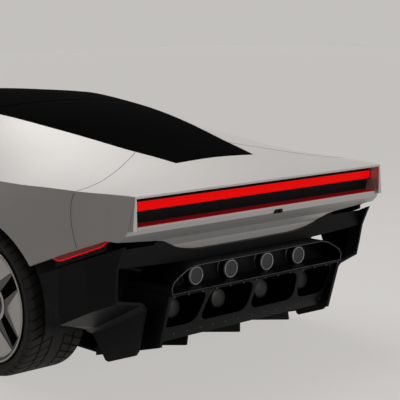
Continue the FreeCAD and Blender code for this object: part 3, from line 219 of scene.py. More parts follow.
# Injection-moulded and spark-grained: dull and even. The grain is 0.3 mm and is drawn 1.5 mm wide.
black_plastic, tree, body = new_material("moulded black ABS", "#0C0C0D", Roughness=0.55, Specular_IOR_Level=0.1)
mottled(tree, body, 0.02, 0.48, 0.62)
noise_bump(tree, body, 0.0015, 0.0001, 0.4)
print("tows drawn", TOW * 1000, "mm wide")

# %% [markdown]
# A lit lamp is acrylic with light inside it. It could be lit by real lamps behind it, but those are slow and noisy to
# render. The material gives off its own red light instead, at a strength of 1 or less, so it stays pure and doesn't
# burn out to white.

# %% Lamp materials
# Moulded light guide: an even, saturated red line. Its optics are 10 mm apart.
# The same glow also paints the highlight along the side reflectors' lower edges.
red_lit, tree, body = new_material("lit red light guide", "#5A0000", Roughness=0.3, Specular_IOR_Level=0.1,
                                   Emission_Color=linear("#D80000"), Emission_Strength=1.0)
mottled(tree, body, 0.01, 0.25, 0.35)
# Moulded red lens with no lamp on: dark crimson with a small gleam and a faint glow of painted light. Uneven over 20
# mm.
red_lens_painted_glow, tree, body = new_material("red acrylic lens with painted glow", "#4A0208", Roughness=0.15, Specular_IOR_Level=0.3,
                                    Emission_Color=linear("#A00412"), Emission_Strength=0.25)
mottled(tree, body, 0.02, 0.1, 0.18)
# The shelf under the guide: the red light that it catches is painted on as a glow half as strong. Uneven over 50 mm.
painted_red_glow, tree, body = new_material("acrylic shelf with painted red light", "#5A0208", Roughness=0.3, Specular_IOR_Level=0.2,
                                    Emission_Color=linear("#A80010"), Emission_Strength=0.5)
mottled(tree, body, 0.05, 0.25, 0.4)
# Lit display: a cool blue that shows the pixels are on. A pixel is far too small; patches of 4 mm stand for them.
screen_glow, tree, body = new_material("lit display pixels", "#9FB4C4", Roughness=0.4,
                                       Emission_Color=linear("#9FC4E0"), Emission_Strength=0.5)
mottled(tree, body, 0.004, 0.3, 0.5)
print("lamps and displays:", ", ".join(made_finishes[-4:]))

# %% [markdown]
# A metal shows its making: turning, brushing and casting leave marks of different sizes. Rubber, lacquer and leather
# are told apart by how dull they are and by their grain. Grain finer than a pixel is drawn as coarse as it needs to
# show, and the comment says so.

# %% Metals, rubber and trim
# Turned and clear-lacquered alloy: the bright part of the wheels. Turning marks of 0.2 mm, drawn as 3 mm patches.
bright_rim, tree, body = new_material("machined and lacquered alloy", "#C6C2BF", Metallic=0.55, Roughness=0.38)
mottled(tree, body, 0.003, 0.32, 0.44)
# Baked lacquer on cast alloy: a soft dark sheen inside the slots. Flakes drawn 3 mm wide.
graphite, tree, body = new_material("graphite wheel lacquer", "#4A4948", Metallic=0.5, Roughness=0.4)
mottled(tree, body, 0.003, 0.24, 0.34)
# Brushed tube, browned by exhaust heat: streaks of about 6 mm.
dark_steel, tree, body = new_material("heat-darkened brushed steel", "#4E4C4A", Metallic=0.9, Roughness=0.4)
mottled(tree, body, 0.006, 0.28, 0.42)
# Cast in sand: a grey, pitted skin. Sand grains of 0.5 mm are drawn 4 mm wide.
cast_metal, tree, body = new_material("sand-cast aluminium", "#8C8D8F", Metallic=1.0, Roughness=0.5)
noise_bump(tree, body, 0.004, 0.0004, 0.6)
# Cast, then ground where the pads run: a dull grey disc. Grain drawn 3 mm wide.
iron, tree, body = new_material("cast iron", "#55524F", Metallic=0.9, Roughness=0.45)
noise_bump(tree, body, 0.003, 0.0003, 0.5)
# Powder melted on in an oven: an even black with a slight orange peel, 2 mm from wave to wave.
satin_black, tree, body = new_material("satin black powder coat", "#1A1A1B", Roughness=0.45)
noise_bump(tree, body, 0.002, 0.0002, 0.4)
# Vulcanised in a mould: the dullest black on the car, a little dusty in patches of 30 mm.
tyre_rubber, tree, body = new_material("tyre rubber", "#2C2C2B", Roughness=0.75, Specular_IOR_Level=0.3)
tinted(tree, body, 0.03, "#2C2B2A", "#383735")
noise_bump(tree, body, 0.0025, 0.0003, 0.5)
# Embossed hide: small cells 3 mm wide, about twice as large as real grain, and a soft edge light.
hide, tree, body = new_material("black grained leather", "#1B1A19", Roughness=0.5, Sheen_Weight=0.15)
grain = add_node(tree, "ShaderNodeTexVoronoi", {"Vector": add_node(tree, "ShaderNodeTexCoord").outputs["Object"],
                                                "Scale": 1 / 0.003})
add_node(tree, "ShaderNodeBump", {"Height": grain.outputs["Distance"], "Distance": 0.0003, "Strength": 0.6},
         ("Normal", body.inputs["Normal"]))
print("finishes so far", len(made_finishes))

# %% [markdown]
# The pieces that this scene adds have finishes of their own, such as felt, wire and webbing. They are made in the
# same way, so that they sit beside the solids' finishes without standing out.

# %% Finishes of the added pieces
# Baked enamel: a smooth dark grey on the calipers. Orange peel of 4 mm.
caliper_paint, tree, body = new_material("baked caliper enamel", "#2B2B2D", Metallic=0.3, Roughness=0.35)
noise_bump(tree, body, 0.004, 0.0002, 0.3)
# Needled fibres: no gloss at all, and a soft fuzzy edge. Tufts 2 mm wide.
felt, tree, body = new_material("needle-punched felt", "#1D1D1E", Roughness=0.95, Sheen_Weight=0.25)
noise_bump(tree, body, 0.002, 0.0006, 0.8)
# Polished steel: the brightest metal, on pipe lips, pedals and switches. Polishing marks drawn 4 mm wide.
bright_steel, tree, body = new_material("polished stainless steel", "#E6E4E2", Metallic=0.25, Roughness=0.25)
mottled(tree, body, 0.004, 0.14, 0.24)
# Drawn wire: mid grey, so that the meshes stand out before the dark pipes. Uneven over 3 mm.
mesh_grey, tree, body = new_material("woven steel wire", "#626264", Metallic=0.4, Roughness=0.5)
mottled(tree, body, 0.003, 0.38, 0.52)
# Glass silvered on its back: a clear reflection. Wiping marks of 50 mm.
mirror_silver, tree, body = new_material("silvered mirror glass", "#D8DADC", Metallic=1.0, Roughness=0.03)
mottled(tree, body, 0.05, 0.02, 0.05)
# Painted gap shade: the gap and its rubber seal lie in shadow, so only a dark line is seen. Uneven over 10 mm.
shadow_gap, tree, body = new_material("painted gap shade", "#131314", Roughness=0.8)
mottled(tree, body, 0.01, 0.7, 0.9)
# Woven polyester: a silky strap. Its ribs are 1.5 mm apart and are drawn 4 mm apart.
webbing, tree, body = new_material("woven polyester webbing", "#202022", Roughness=0.7, Sheen_Weight=0.3)
woven(tree, body, BRAID)
# Lacquer that wrinkles as it bakes: a rough, dull red. Wrinkles of 2 mm.
plenum_red, tree, body = new_material("wrinkle-finish lacquer", "#7E1512", Roughness=0.5)
noise_bump(tree, body, 0.002, 0.0004, 0.9)
# Aluminised and sooted steel: nearly black behind the diffuser. Soot in patches of 10 mm.
muffler, tree, body = new_material("coated silencer steel", "#1E1E1D", Metallic=0.4, Roughness=0.45)
mottled(tree, body, 0.01, 0.38, 0.52)
print("finishes in all", len(made_finishes))

# %% [markdown]
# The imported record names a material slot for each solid, such as paint or tyre. One table turns the slots into
# finishes. The alternative is to name all 45 solids one by one, which goes wrong as soon as one is renamed.

# %% Give every solid its finish
FINISHES = {
    "paint": silver_paint, "canopy_black": gloss_black, "glass": dark_glass, "lamp_glass": clear_glass,
    "lamp_black": black_plastic, "lamp_red": red_lit, "lens_red": red_lens_painted_glow, "carbon": carbon, "steel": dark_steel,
    "tub": black_plastic, "cast": cast_metal, "seat_trim": hide, "trim_black": hide, "tyre": tyre_rubber,
    "rim": graphite, "iron": iron, "arms": satin_black}
slot_of = {part["node"]: part["material_slot"] for part in frame["record"]["subparts"]}
for name, node in frame["nodes"].items():
    finish = FINISHES[slot_of[name]]
    if not node.material_slots:
        node.data.materials.append(finish)
    for holder in node.material_slots:
        holder.material = finish
print("finished", len(frame["nodes"]), "solids in", len(FINISHES), "finishes")

# %% [markdown]
# Most of the fine pieces below are made in a bmesh, Blender's editable mesh in code. The helpers here keep their
# cells short: one turns a bmesh into an object that rides on a body of the car, and one mirrors it to the other side.
# A mirrored mesh is turned inside out, so its faces are reversed.

# %% From a bmesh to a piece of the car
LEFT, RIGHT = 1, -1
SIDES = {LEFT: "left", RIGHT: "right"}


def finish_piece(name, bm, material, body="chassis", smooth=38):
    """An object of a bmesh that rides on a body; edges under smooth degrees are shaded round."""
    bmesh.ops.remove_doubles(bm, verts=bm.verts, dist=1e-6)
    mesh = bpy.data.meshes.new(name)
    bm.to_mesh(mesh)
    bm.free()
    mesh.materials.append(material)
    mesh.shade_smooth()
    mesh.set_sharp_from_angle(angle=math.radians(smooth))
    thing = bpy.data.objects.new(name, mesh)
    bpy.context.scene.collection.objects.link(thing)
    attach(thing, body)
    return thing


def other_side(bm):
    """A copy of a bmesh mirrored to the other side of the car."""
    copy = bm.copy()
    bmesh.ops.scale(copy, vec=(1, -1, 1), verts=copy.verts)
    bmesh.ops.reverse_faces(copy, faces=copy.faces)
    return copy


def on_both_sides(name, bm, material, bodies=("chassis", "chassis"), smooth=38):
    """The piece made for the left side, and its mirror image on the right."""
    copy = other_side(bm)
    return [finish_piece(name + "_left", bm, material, bodies[0], smooth),
            finish_piece(name + "_right", copy, material, bodies[1], smooth)]


print("sides", SIDES)

# %% [markdown]
# Two forms come up again and again. A slab is a cube between two corners with its edges bevelled, because no real
# edge is perfectly sharp. A turned form is half a section, drawn as a few corners and spun a full turn, as on a
# lathe. It closes on itself without a seam.

# %% Slabs and turned forms
ORIGIN = (0, 0, 0)
AHEAD, BACK, UP, DOWN, INWARDS = (1, 0, 0), (-1, 0, 0), (0, 0, 1), (0, 0, -1), (0, -1, 0)


def slab(bm, low, high, bevel=0.002, segments=2):
    """A block between two corners with its edges bevelled."""
    made = bmesh.ops.create_cube(bm, size=1)["verts"]
    low, high = Vector(low), Vector(high)
    bmesh.ops.scale(bm, vec=high - low, verts=made)
    bmesh.ops.translate(bm, vec=(low + high) / 2, verts=made)
    edges = list({e for v in made for e in v.link_edges})
    bmesh.ops.bevel(bm, geom=edges, offset=bevel, segments=segments, affect="EDGES", profile=0.5, material=-1)


def turned(bm, outline, centre, axis, steps, across=None):
    """Spins an outline of (radius, place along the axis) a full turn; one that starts on the axis stays open."""
    axis = Vector(axis).normalized()
    across = Vector(across) if across else axis.orthogonal().normalized()
    before = set(bm.verts)
    corners = [bm.verts.new(Vector(centre) + across * r + axis * a) for r, a in outline]
    back_to = corners[:1] if outline[0][0] else []
    edges = [bm.edges.new(pair) for pair in zip(corners, corners[1:] + back_to)]
    bmesh.ops.spin(bm, geom=corners + edges, cent=centre, axis=axis, angle=math.tau, steps=steps, use_merge=True)
    made = [v for v in bm.verts if v not in before]
    bmesh.ops.remove_doubles(bm, verts=made, dist=1e-6)
    made = [v for v in bm.verts if v not in before]
    bmesh.ops.recalc_face_normals(bm, faces=list({f for v in made for f in v.link_faces}))


print("slab and turned ready")

# %% [markdown]
# Hoses, seams and rods are round lines. Blender's curves give a line a round section and closed ends, so a curve is
# built and its mesh is taken. A grille is a flat grid whose faces are replaced by bars in one operator.

# %% Tubes and grilles


def tube(bm, points, radius, around=2, closed=False, round_line=False):
    """A thin round tube along points, added to a bmesh; a NURBS line where it should run smoothly."""
    line = bpy.data.curves.new("line", "CURVE")
    line.dimensions = "3D"
    line.bevel_depth = radius
    line.bevel_resolution = around
    line.use_fill_caps = not closed
    spline = line.splines.new("NURBS" if round_line else "POLY")
    spline.points.add(len(points) - 1)
    for place, point in zip(spline.points, points):
        place.co = (*point, 1)
    spline.use_cyclic_u = closed
    if round_line:
        spline.order_u = 3
        spline.use_endpoint_u = not closed
    holder = bpy.data.objects.new("line", line)
    mesh = bpy.data.meshes.new_from_object(holder)
    bm.from_mesh(mesh)
    bpy.data.meshes.remove(mesh)
    bpy.data.objects.remove(holder)
    bpy.data.curves.remove(line)


def grid_mesh(bm, middle, half_y, half_z, cell, wire, inside=None):
    """A woven or moulded grille that faces along X: a grid of wires around a middle."""
    work = bmesh.new()
    columns, rows = max(2, round(2 * half_y / cell)), max(2, round(2 * half_z / cell))
    bmesh.ops.create_grid(work, x_segments=columns, y_segments=rows, size=1)
    bmesh.ops.scale(work, vec=(half_y, half_z, 1), verts=work.verts)
    if inside:
        outer = [v for v in work.verts if not inside(v.co.x, v.co.y)]
        bmesh.ops.delete(work, geom=outer, context="VERTS")
    for v in work.verts:
        v.co = Vector((0, v.co.x, v.co.y))
    bmesh.ops.translate(work, vec=middle, verts=work.verts)
    bmesh.ops.wireframe(work, faces=work.faces, thickness=wire, use_replace=True, use_boundary=True,
                        use_even_offset=True)
    mesh = bpy.data.meshes.new("grille")
    work.to_mesh(mesh)
    work.free()
    bm.from_mesh(mesh)
    bpy.data.meshes.remove(mesh)


print("tube and grid_mesh ready")

# %% [markdown]
# A seam or a screw has to lie exactly on the curved body. Typing its height by hand would leave it floating or
# buried. So a ray is sent at the solid, and the point where it meets the surface is used, lifted a little along the
# surface's normal.

# %% Laying pieces on a surface


def surface_of(*names):
    """A search tree of CAD nodes, so that a piece can be laid on their real surface."""
    joined = bmesh.new()
    for name in names:
        joined.from_mesh(frame["nodes"][name].data)
    tree_of = BVHTree.FromBMesh(joined)
    joined.free()
    return tree_of


def laid_on(surface, start, direction, lift=0.0):
    """Where a line from start meets the surface, lifted off it; None where it misses."""
    place, normal = surface.ray_cast(Vector(start), Vector(direction))[:2]
    if place is None:
        return None
    if normal.dot(Vector(direction)) > 0:
        normal = -normal
    return place + normal * lift


print("surface_of and laid_on ready")

# %% [markdown]
# A tyre starts as half a section: the flank with its rim guard, then the tread with four grooves round it, 7 mm
# deep. Front and rear wheels differ only in their measures, so those stand in one table.

# %% Section of a tyre
# X of the axle, Y of the wheel's outer face, radius of the tyre, radius of the rim, width
WHEELS = {"front": (1.340, 0.963, 0.345, 0.276, 0.265), "rear": (-1.380, 0.988, 0.365, 0.294, 0.345)}
PITCHES = 44
GROOVE_DEPTH = 0.007
SHEAR = 0.45


def tyre_outline(radius, rim, width, grooves):
    """(radius, y) corners of half a tyre; the wheel's outer face is at y = 0 and the grooves run round the tread."""
    flank = [(rim + 0.0005, -0.027), (rim + 0.006, -0.013), (rim + 0.016, -0.0045), (rim + 0.022, -0.0042),
             (rim + 0.024, -0.0062), (rim + 0.028, -0.0058), (rim + 0.029, -0.0035), (radius - 0.034, -0.0004),
             (radius - 0.024, -0.0024), (radius - 0.014, -0.0064), (radius - 0.008, -0.0130),
             (radius - 0.004, -0.0205), (radius - 0.0015, -0.031), (radius - 0.0002, -0.044)]
    tread = []
    for place in grooves:
        tread += [(radius, -place + 0.0045), (radius - GROOVE_DEPTH, -place + 0.003),
                  (radius - GROOVE_DEPTH, -place - 0.003), (radius, -place - 0.0045)]
    return flank + tread + [(r, -width - y) for r, y in flank[::-1]]


print("tyre widths", {end: sizes[4] for end, sizes in WHEELS.items()})

# %% [markdown]
# A road tyre's tread repeats: 44 equal pitches go round it. One pitch is made by spinning the tyre's outline through
# a small angle, a wide step for the block and a narrow one for the groove, with the groove's part of the tread pushed
# 7 mm inwards. The pitch is then sheared into a shallow V and spun round as copies. A tyre then has under ten
# thousand faces; a modelled block for each lug would take more.

# %% One tyre from a pitch


def make_tyre(radius, rim, width):
    """One tyre about Y with its outer face at y = 0 and its middle at the origin."""
    middle = width / 2
    grooves = [middle - 0.062, middle - 0.022, middle + 0.022, middle + 0.062] if width < 0.3 else [
        middle - 0.095, middle - 0.036, middle + 0.036, middle + 0.095]
    bm = bmesh.new()
    corners = [bm.verts.new((r, y, 0)) for r, y in tyre_outline(radius, rim, width, grooves)]
    section = corners + [bm.edges.new(pair) for pair in zip(corners, corners[1:] + corners[:1])]
    pitch = math.tau / PITCHES
    outer_half = middle - 0.003
    for share, push in ((0.39, 0.0), (0.39, 0.0), (0.02, -GROOVE_DEPTH), (0.18, 0.0), (0.02, GROOVE_DEPTH)):
        section = bmesh.ops.spin(bm, geom=section, cent=ORIGIN, axis=(0, 1, 0), angle=share * pitch,
                                 steps=1)["geom_last"]
        if push:
            for v in [g for g in section if isinstance(g, bmesh.types.BMVert)]:
                out = Vector((v.co.x, 0, v.co.z))
                lane = abs(v.co.y + middle)
                if out.length > radius - 0.0195 and abs(grooves[1] - middle) + 0.004 < lane < outer_half:
                    v.co += out.normalized() * push
    for v in bm.verts:
        lane = min(abs(v.co.y + middle), middle - 0.02)
        v.co = Matrix.Rotation(-SHEAR * lane / radius, 3, "Y") @ v.co
    bmesh.ops.spin(bm, geom=bm.verts[:] + bm.edges[:] + bm.faces[:], cent=ORIGIN, axis=(0, 1, 0),
                   angle=math.tau * (PITCHES - 1) / PITCHES, steps=PITCHES - 1, use_duplicate=True)
    bmesh.ops.remove_doubles(bm, verts=bm.verts, dist=1e-5)
    bmesh.ops.recalc_face_normals(bm, faces=bm.faces)
    return bm


print("a pitch is", round(360 / PITCHES, 2), "degrees")

# %% [markdown]
# Each tyre takes the place of its plain solid and rides on its wheel's body, so it rolls and steers with it. The
# right wheels are turned half round rather than mirrored, as one puts the same wheel on either side of a car.

# %% Tyres with tread


def set_on_axle(bm, end, side):
    """Moves a piece made at the origin to a wheel; on the right it is turned half round, as the CAD wheel is."""
    x, face, radius = WHEELS[end][:3]
    if side == RIGHT:
        bmesh.ops.rotate(bm, cent=ORIGIN, matrix=Matrix.Rotation(math.pi, 3, "Z"), verts=bm.verts)
    bmesh.ops.translate(bm, vec=(x, side * face, radius), verts=bm.verts)


for end, (_, _, radius, rim, width) in WHEELS.items():
    master = make_tyre(radius, rim, width)
    for side, side_name in SIDES.items():
        bm = master.copy()
        set_on_axle(bm, end, side)
        tread = finish_piece("tread_%s_%s" % (end, side_name), bm, tyre_rubber,
                             "wheel_%s_%s" % (end, side_name), 30)
        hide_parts("tyre_%s_%s" % (end, side_name))
    master.free()
    print(end, "tyre", len(tread.data.polygons), "faces")

# %% [markdown]
# The wheels have five slots between broad blades. Each slot gets a dark frame, as a wheel that is painted first
# and then machined bright on its face has. The frame starts as one face with its corners rounded, is inset to a
# ring and pushed into the depth.

# %% Frames of the wheel's slots
WINDOW_MIDDLES = [math.radians(74.4 + 72 * k) for k in range(5)]
AXLE = (0, 1, 0)
HUB_RADIUS, HUB_DEPTH, DISH_RISE = 0.07, -0.038, 0.020
FRAME_WIDTH, FRAME_DEPTH, BLADE_RISE = 0.0045, 0.022, 0.0025


def dish(r, rim):
    """Depth of the wheel's face at a radius: flat at the hub, then rising towards the rim."""
    return HUB_DEPTH + (max(r, HUB_RADIUS) - HUB_RADIUS) * DISH_RISE / (rim - 0.102)


def window_frames(bm, rim):
    """A dark frame a little inside each slot's edge, from the face into the depth."""
    for middle in WINDOW_MIDDLES:
        corners = []
        for r, a in ((0.0975, -0.242), (0.0975, 0.242), (rim - 0.0355, 0.132), (rim - 0.0355, -0.132)):
            corners.append(bm.verts.new((r * math.cos(middle + a), dish(r, rim) + 0.0006,
                                         r * math.sin(middle + a))))
        bm.faces.new(corners)
        bmesh.ops.bevel(bm, geom=corners, offset=0.006, segments=3, affect="VERTICES", profile=0.5, material=-1)
        window = [f for f in bm.faces if len(f.verts) > 8][-1]
        ring = bmesh.ops.inset_region(bm, faces=[window], thickness=FRAME_WIDTH)["faces"]
        bmesh.ops.delete(bm, geom=[window], context="FACES_ONLY")
        made = bmesh.ops.extrude_face_region(bm, geom=ring)["geom"]
        bmesh.ops.translate(bm, vec=(0, -FRAME_DEPTH, 0),
                            verts=[g for g in made if isinstance(g, bmesh.types.BMVert)])
    bmesh.ops.recalc_face_normals(bm, faces=bm.faces)


print("slots in a wheel", len(WINDOW_MIDDLES))

# %% [markdown]
# The bright blades are thin wedges, bridged between two rows of points and lifted off the dish. With a bright ring
# at the hub and one at the edge they are what a lathe leaves bright; the rest of the wheel keeps its dark lacquer.

# %% Bright blades and rings


def blades(bm, rim):
    """Five bright wedges between the slots, 2.5 mm proud of the dish and pointed towards the hub."""
    for middle in WINDOW_MIDDLES:
        middle += math.radians(36)
        rows = []
        for r, spread in ((0.128, 0.07), (rim - 0.0195, 0.452)):
            rows.append([bm.verts.new((r * math.cos(middle + a), dish(r, rim) + 0.0008, r * math.sin(middle + a)))
                         for a in [spread * (k / 4 - 1) for k in range(9)]])
        lines = [bm.edges.new(pair) for row in rows for pair in zip(row, row[1:])]
        wedge = bmesh.ops.bridge_loops(bm, edges=lines)["faces"]
        made = bmesh.ops.extrude_face_region(bm, geom=wedge)["geom"]
        lifted = {g for g in made if isinstance(g, bmesh.types.BMVert)}
        bmesh.ops.translate(bm, vec=(0, BLADE_RISE, 0), verts=list(lifted))
        border = [e for e in bm.edges if set(e.verts) <= lifted
                  and any(len(set(f.verts) & lifted) == 2 for f in e.link_faces)]
        bmesh.ops.bevel(bm, geom=border, offset=0.0009, segments=2, affect="EDGES", profile=0.5, material=-1)
    bmesh.ops.recalc_face_normals(bm, faces=bm.faces)


def bright_face(bm, rim):
    """The blades, the ring round the hub and the ring at the rim's edge."""
    blades(bm, rim)
    turned(bm, [(0.071, -0.0380), (0.092, -0.0352), (0.092, -0.0332), (0.090, -0.0326), (0.071, -0.0352)],
           ORIGIN, AXLE, 60)
    turned(bm, [(rim - 0.0120, -0.0045), (rim - 0.0105, -0.0020), (rim - 0.0040, -0.0020), (rim - 0.0030, -0.0040)],
           ORIGIN, AXLE, 96)


def dark_frames(bm, rim):
    """The slots' frames and a fine line inside the rim's edge."""
    window_frames(bm, rim)
    turned(bm, [(rim - 0.017, -0.0052), (rim - 0.0145, -0.0034), (rim - 0.0135, -0.0052)], ORIGIN, AXLE, 72)


print("blades in a wheel", len(WINDOW_MIDDLES))

# %% [markdown]
# A centre lock, small screws, a valve and the drilled brake disc are what the eye looks for in the hub and the slots.
# All are turned forms, made at the origin for a rim of any radius. The holes are dark discs of painted shade, because
# real holes would cut the disc into slivers and look the same.

# %% Hubs and brakes
SCREWS_ROUND_HUB = 10
HOLES_ROUND_DISC = 24
VALVE_ANGLE = math.radians(110.4)


def hub_lock(bm, rim):
    """The lock's ring and nut, ten screws and the valve."""
    turned(bm, [(0.027, -0.0385), (0.042, -0.0385), (0.042, -0.032), (0.039, -0.0275), (0.029, -0.0265)],
           ORIGIN, AXLE, 48)
    turned(bm, [(0, -0.0385), (0.0235, -0.0385), (0.0235, -0.0245), (0.0205, -0.0215), (0, -0.0215)], ORIGIN, AXLE, 6)
    for k in range(SCREWS_ROUND_HUB):
        turn = math.tau * k / SCREWS_ROUND_HUB
        turned(bm, [(0, -0.0385), (0.0042, -0.0385), (0.0042, -0.0355), (0.003, -0.0345), (0, -0.0345)],
               (0.055 * math.cos(turn), 0, 0.055 * math.sin(turn)), AXLE, 10)
    foot = Vector(((rim - 0.026) * math.cos(VALVE_ANGLE), -0.020, (rim - 0.026) * math.sin(VALVE_ANGLE)))
    turned(bm, [(0, 0), (0.0042, 0), (0.0042, 0.008), (0.003, 0.0095), (0.003, 0.014), (0, 0.014)], foot, AXLE, 12)


def disc_face(bm, rim):
    """The brake disc's two ground faces."""
    turned(bm, [(0.118, -0.1152), (0.1955, -0.1152), (0.1958, -0.1155), (0.1958, -0.1505), (0.1955, -0.1508),
                (0.118, -0.1508)], ORIGIN, AXLE, 72)


def disc_holes(bm, rim):
    """Three staggered rings of drilled holes, drawn as dark discs of painted shade."""
    for k in range(HOLES_ROUND_DISC):
        for lane, offset in ((0.138, 0.0), (0.157, 0.33), (0.176, 0.66)):
            turn = math.tau * (k + offset) / HOLES_ROUND_DISC
            turned(bm, [(0, -0.1152), (0.0034, -0.1152), (0.0034, -0.1149), (0, -0.1149)],
                   (lane * math.cos(turn), 0, lane * math.sin(turn)), AXLE, 8)


print("holes in a disc", 3 * HOLES_ROUND_DISC)

# %% [markdown]
# One table says what each wheel is made of, and a loop builds the pieces for all four. The calipers are the only
# pieces that don't turn with them. They are mirrored from left to right, where the wheels are turned half round.

# %% Put the wheels together
# Name of the piece, the function that makes it, its finish and its slot
WHEEL_PIECES = (("blades", bright_face, bright_rim, "rim"), ("slot_frames", dark_frames, satin_black, "rim"),
                ("hub_lock", hub_lock, dark_steel, "rim"), ("disc_face", disc_face, iron, "iron"),
                ("disc_holes", disc_holes, satin_black, "iron"))
for end, (x, face, radius, rim, _) in WHEELS.items():
    for side, side_name in SIDES.items():
        wheel = "%s_%s" % (end, side_name)
        for name, make, material, slot in WHEEL_PIECES:
            bm = bmesh.new()
            make(bm, rim)
            set_on_axle(bm, end, side)
            finish_piece(name + "_" + wheel, bm, material, "wheel_" + wheel)
        bm = bmesh.new()
        slab(bm, (-0.226, -0.0985, -0.054), (-0.128, -0.0965, 0.054), 0.0009)
        for px, pz in ((-0.214, 0.040), (-0.214, -0.040), (-0.145, 0.040), (-0.145, -0.040)):
            turned(bm, [(0, -0.0966), (0.006, -0.0966), (0.006, -0.0955), (0, -0.0955)], (px, 0, pz), AXLE, 6)
        if side == RIGHT:
            bmesh.ops.scale(bm, vec=(1, -1, 1), verts=bm.verts)
            bmesh.ops.reverse_faces(bm, faces=bm.faces)
        bmesh.ops.translate(bm, vec=(x, side * face, radius), verts=bm.verts)
        finish_piece("caliper_cover_" + wheel, bm, caliper_paint,
                     "steer_" + side_name if end == "front" else "chassis")
print("wheels", len(WHEELS) * len(SIDES), "of", len(WHEEL_PIECES), "added pieces each")

# %% [markdown]
# Behind each tyre sits a thin moulded liner that keeps water and stones out of the body. It is an open strip spun
# over the wheel, with shallow stiffening ribs, and given its 2 mm with solidify. Its inner edge turns down to 12 mm
# outside the tyre's radius, which narrows the gap above the tyre and still lets the wheel steer past.

# %% Wheel arch liners
LINER_GAP = 0.012
LINER_START, LINER_END = math.radians(-14), math.radians(194)
# Wheel, radius of the arch, Y of the inner and of the outer edge
for end, arch, inner_y, outer_y in (("front", 0.412, 0.60, 0.925), ("rear", 0.420, 0.63, 0.940)):
    x, _, radius = WHEELS[end][:3]
    axle = (x, 0, radius)
    bm = bmesh.new()
    places = [inner_y + (outer_y - inner_y) * k / 16 for k in range(17)]
    row = [bm.verts.new((x + arch - (0.004 if k % 4 == 2 else 0), y, radius)) for k, y in enumerate(places)]
    row.insert(0, bm.verts.new((x + radius + LINER_GAP, inner_y, radius)))
    edges = [bm.edges.new(pair) for pair in zip(row, row[1:])]
    bmesh.ops.rotate(bm, cent=axle, matrix=Matrix.Rotation(-LINER_START, 3, "Y"), verts=row)
    bmesh.ops.spin(bm, geom=row + edges, cent=axle, axis=(0, -1, 0), angle=LINER_END - LINER_START, steps=60)
    bmesh.ops.recalc_face_normals(bm, faces=bm.faces)
    bmesh.ops.solidify(bm, geom=bm.faces[:], thickness=0.002)
    on_both_sides("arch_liner_" + end, bm, felt)
print("arch liners", 4)

# %% [markdown]
# The tail lamp is one light guide across the car in a black tray: ribbed acrylic that glows pure red, over a shelf
# whose glow is painted light caught from the guide. Thin black strips hold it. The ribs are real slabs with bevelled
# edges. A bump pattern would be lighter, but it would leave the lamp's edge smooth.

# %% Tail lamp
RIB_PITCH, RIBS_EACH_SIDE = 0.012, 68
CLIP_PITCH, CLIPS_EACH_SIDE = 0.088, 9
LINE_PITCH, LINES_EACH_SIDE = 0.020, 40


def row_of_slabs(bm, pitch, each_side, low, high, wide, bevel):
    """Narrow slabs side by side across the car; low and high are (x, z), wide is half a slab's width."""
    for k in range(-each_side, each_side + 1):
        slab(bm, (low[0], k * pitch - wide, low[1]), (high[0], k * pitch + wide, high[1]), bevel, 1)


bm = bmesh.new()
row_of_slabs(bm, RIB_PITCH, RIBS_EACH_SIDE, (-2.2972, 0.9075), (-2.2955, 0.9445), 0.0042, 0.0008)
finish_piece("light_guide_ribs", bm, red_lit)
bm = bmesh.new()
slab(bm, (-2.2945, -0.820, 0.9475), (-2.2700, 0.820, 0.9515), 0.001)
slab(bm, (-2.2945, -0.820, 0.9005), (-2.2700, 0.820, 0.9045), 0.001)
for side in SIDES:
    slab(bm, (-2.2945, side * 0.8235 - 0.003, 0.9005), (-2.2700, side * 0.8235 + 0.003, 0.9515), 0.001)
row_of_slabs(bm, CLIP_PITCH, CLIPS_EACH_SIDE, (-2.2885, 0.957), (-2.2838, 0.967), 0.0015, 0.0004)
finish_piece("light_guide_holders", bm, black_plastic)
# The shelf and its lines glow with painted light: the red light that falls on them from the guide.
bm = bmesh.new()
slab(bm, (-2.3300, -0.812, 0.8400), (-2.2845, 0.812, 0.8425), 0.001)
row_of_slabs(bm, LINE_PITCH, LINES_EACH_SIDE, (-2.3290, 0.8425), (-2.2855, 0.8434), 0.001, 0.0003)
finish_piece("lamp_shelf", bm, painted_red_glow)
print("tail lamp ribs", 2 * RIBS_EACH_SIDE + 1)

# %% [markdown]
# A small camera sits under the lamp, left of the middle. Beside it, the side reflectors are dark crimson lenses whose
# lower edge catches the light; that highlight is painted as a glowing red line. The edge is found by looking along
# Y at the CAD lens, so it lies exactly on it.

# %% Camera and side reflectors
tail_skin, lens_skin = surface_of("tail_panel"), surface_of("red_lenses")
camera_at = laid_on(tail_skin, (-2.6, -0.098, 0.812), AHEAD)
bm = bmesh.new()
slab(bm, (camera_at.x - 0.007, -0.126, 0.801), (camera_at.x + 0.012, -0.070, 0.823), 0.005, 3)
finish_piece("camera_pod", bm, black_plastic)
bm = bmesh.new()
turned(bm, [(0, 0), (0.0062, 0), (0.0062, 0.0014), (0.0045, 0.0022), (0, 0.0030)],
       (camera_at.x - 0.0068, -0.098, 0.812), BACK, 24)
finish_piece("camera_lens", bm, gloss_black)


def lower_edge(surface, x, low, high, step=0.0008):
    """The lowest point of a surface, seen from the left at a place along the car."""
    z = low
    while z < high:
        hit = laid_on(surface, (x, 1.3, z), INWARDS)
        if hit is not None and hit.y > 0.6:
            return hit
        z += step
    return None


edge = [p for p in (lower_edge(lens_skin, -1.886 - 0.0075 * k, 0.62, 0.86) for k in range(57)) if p]
edge = [p + Vector((0, 0.0004, 0.0012)) for p in edge]
print("reflector edge points", len(edge), [round(c, 3) for c in edge[0]], [round(c, 3) for c in edge[-1]])
# Painted highlight: a glowing red line along each reflector's lower edge.
bm = bmesh.new()
tube(bm, edge, 0.0024)
on_both_sides("reflector_edge_painted_highlight", bm, red_lit)

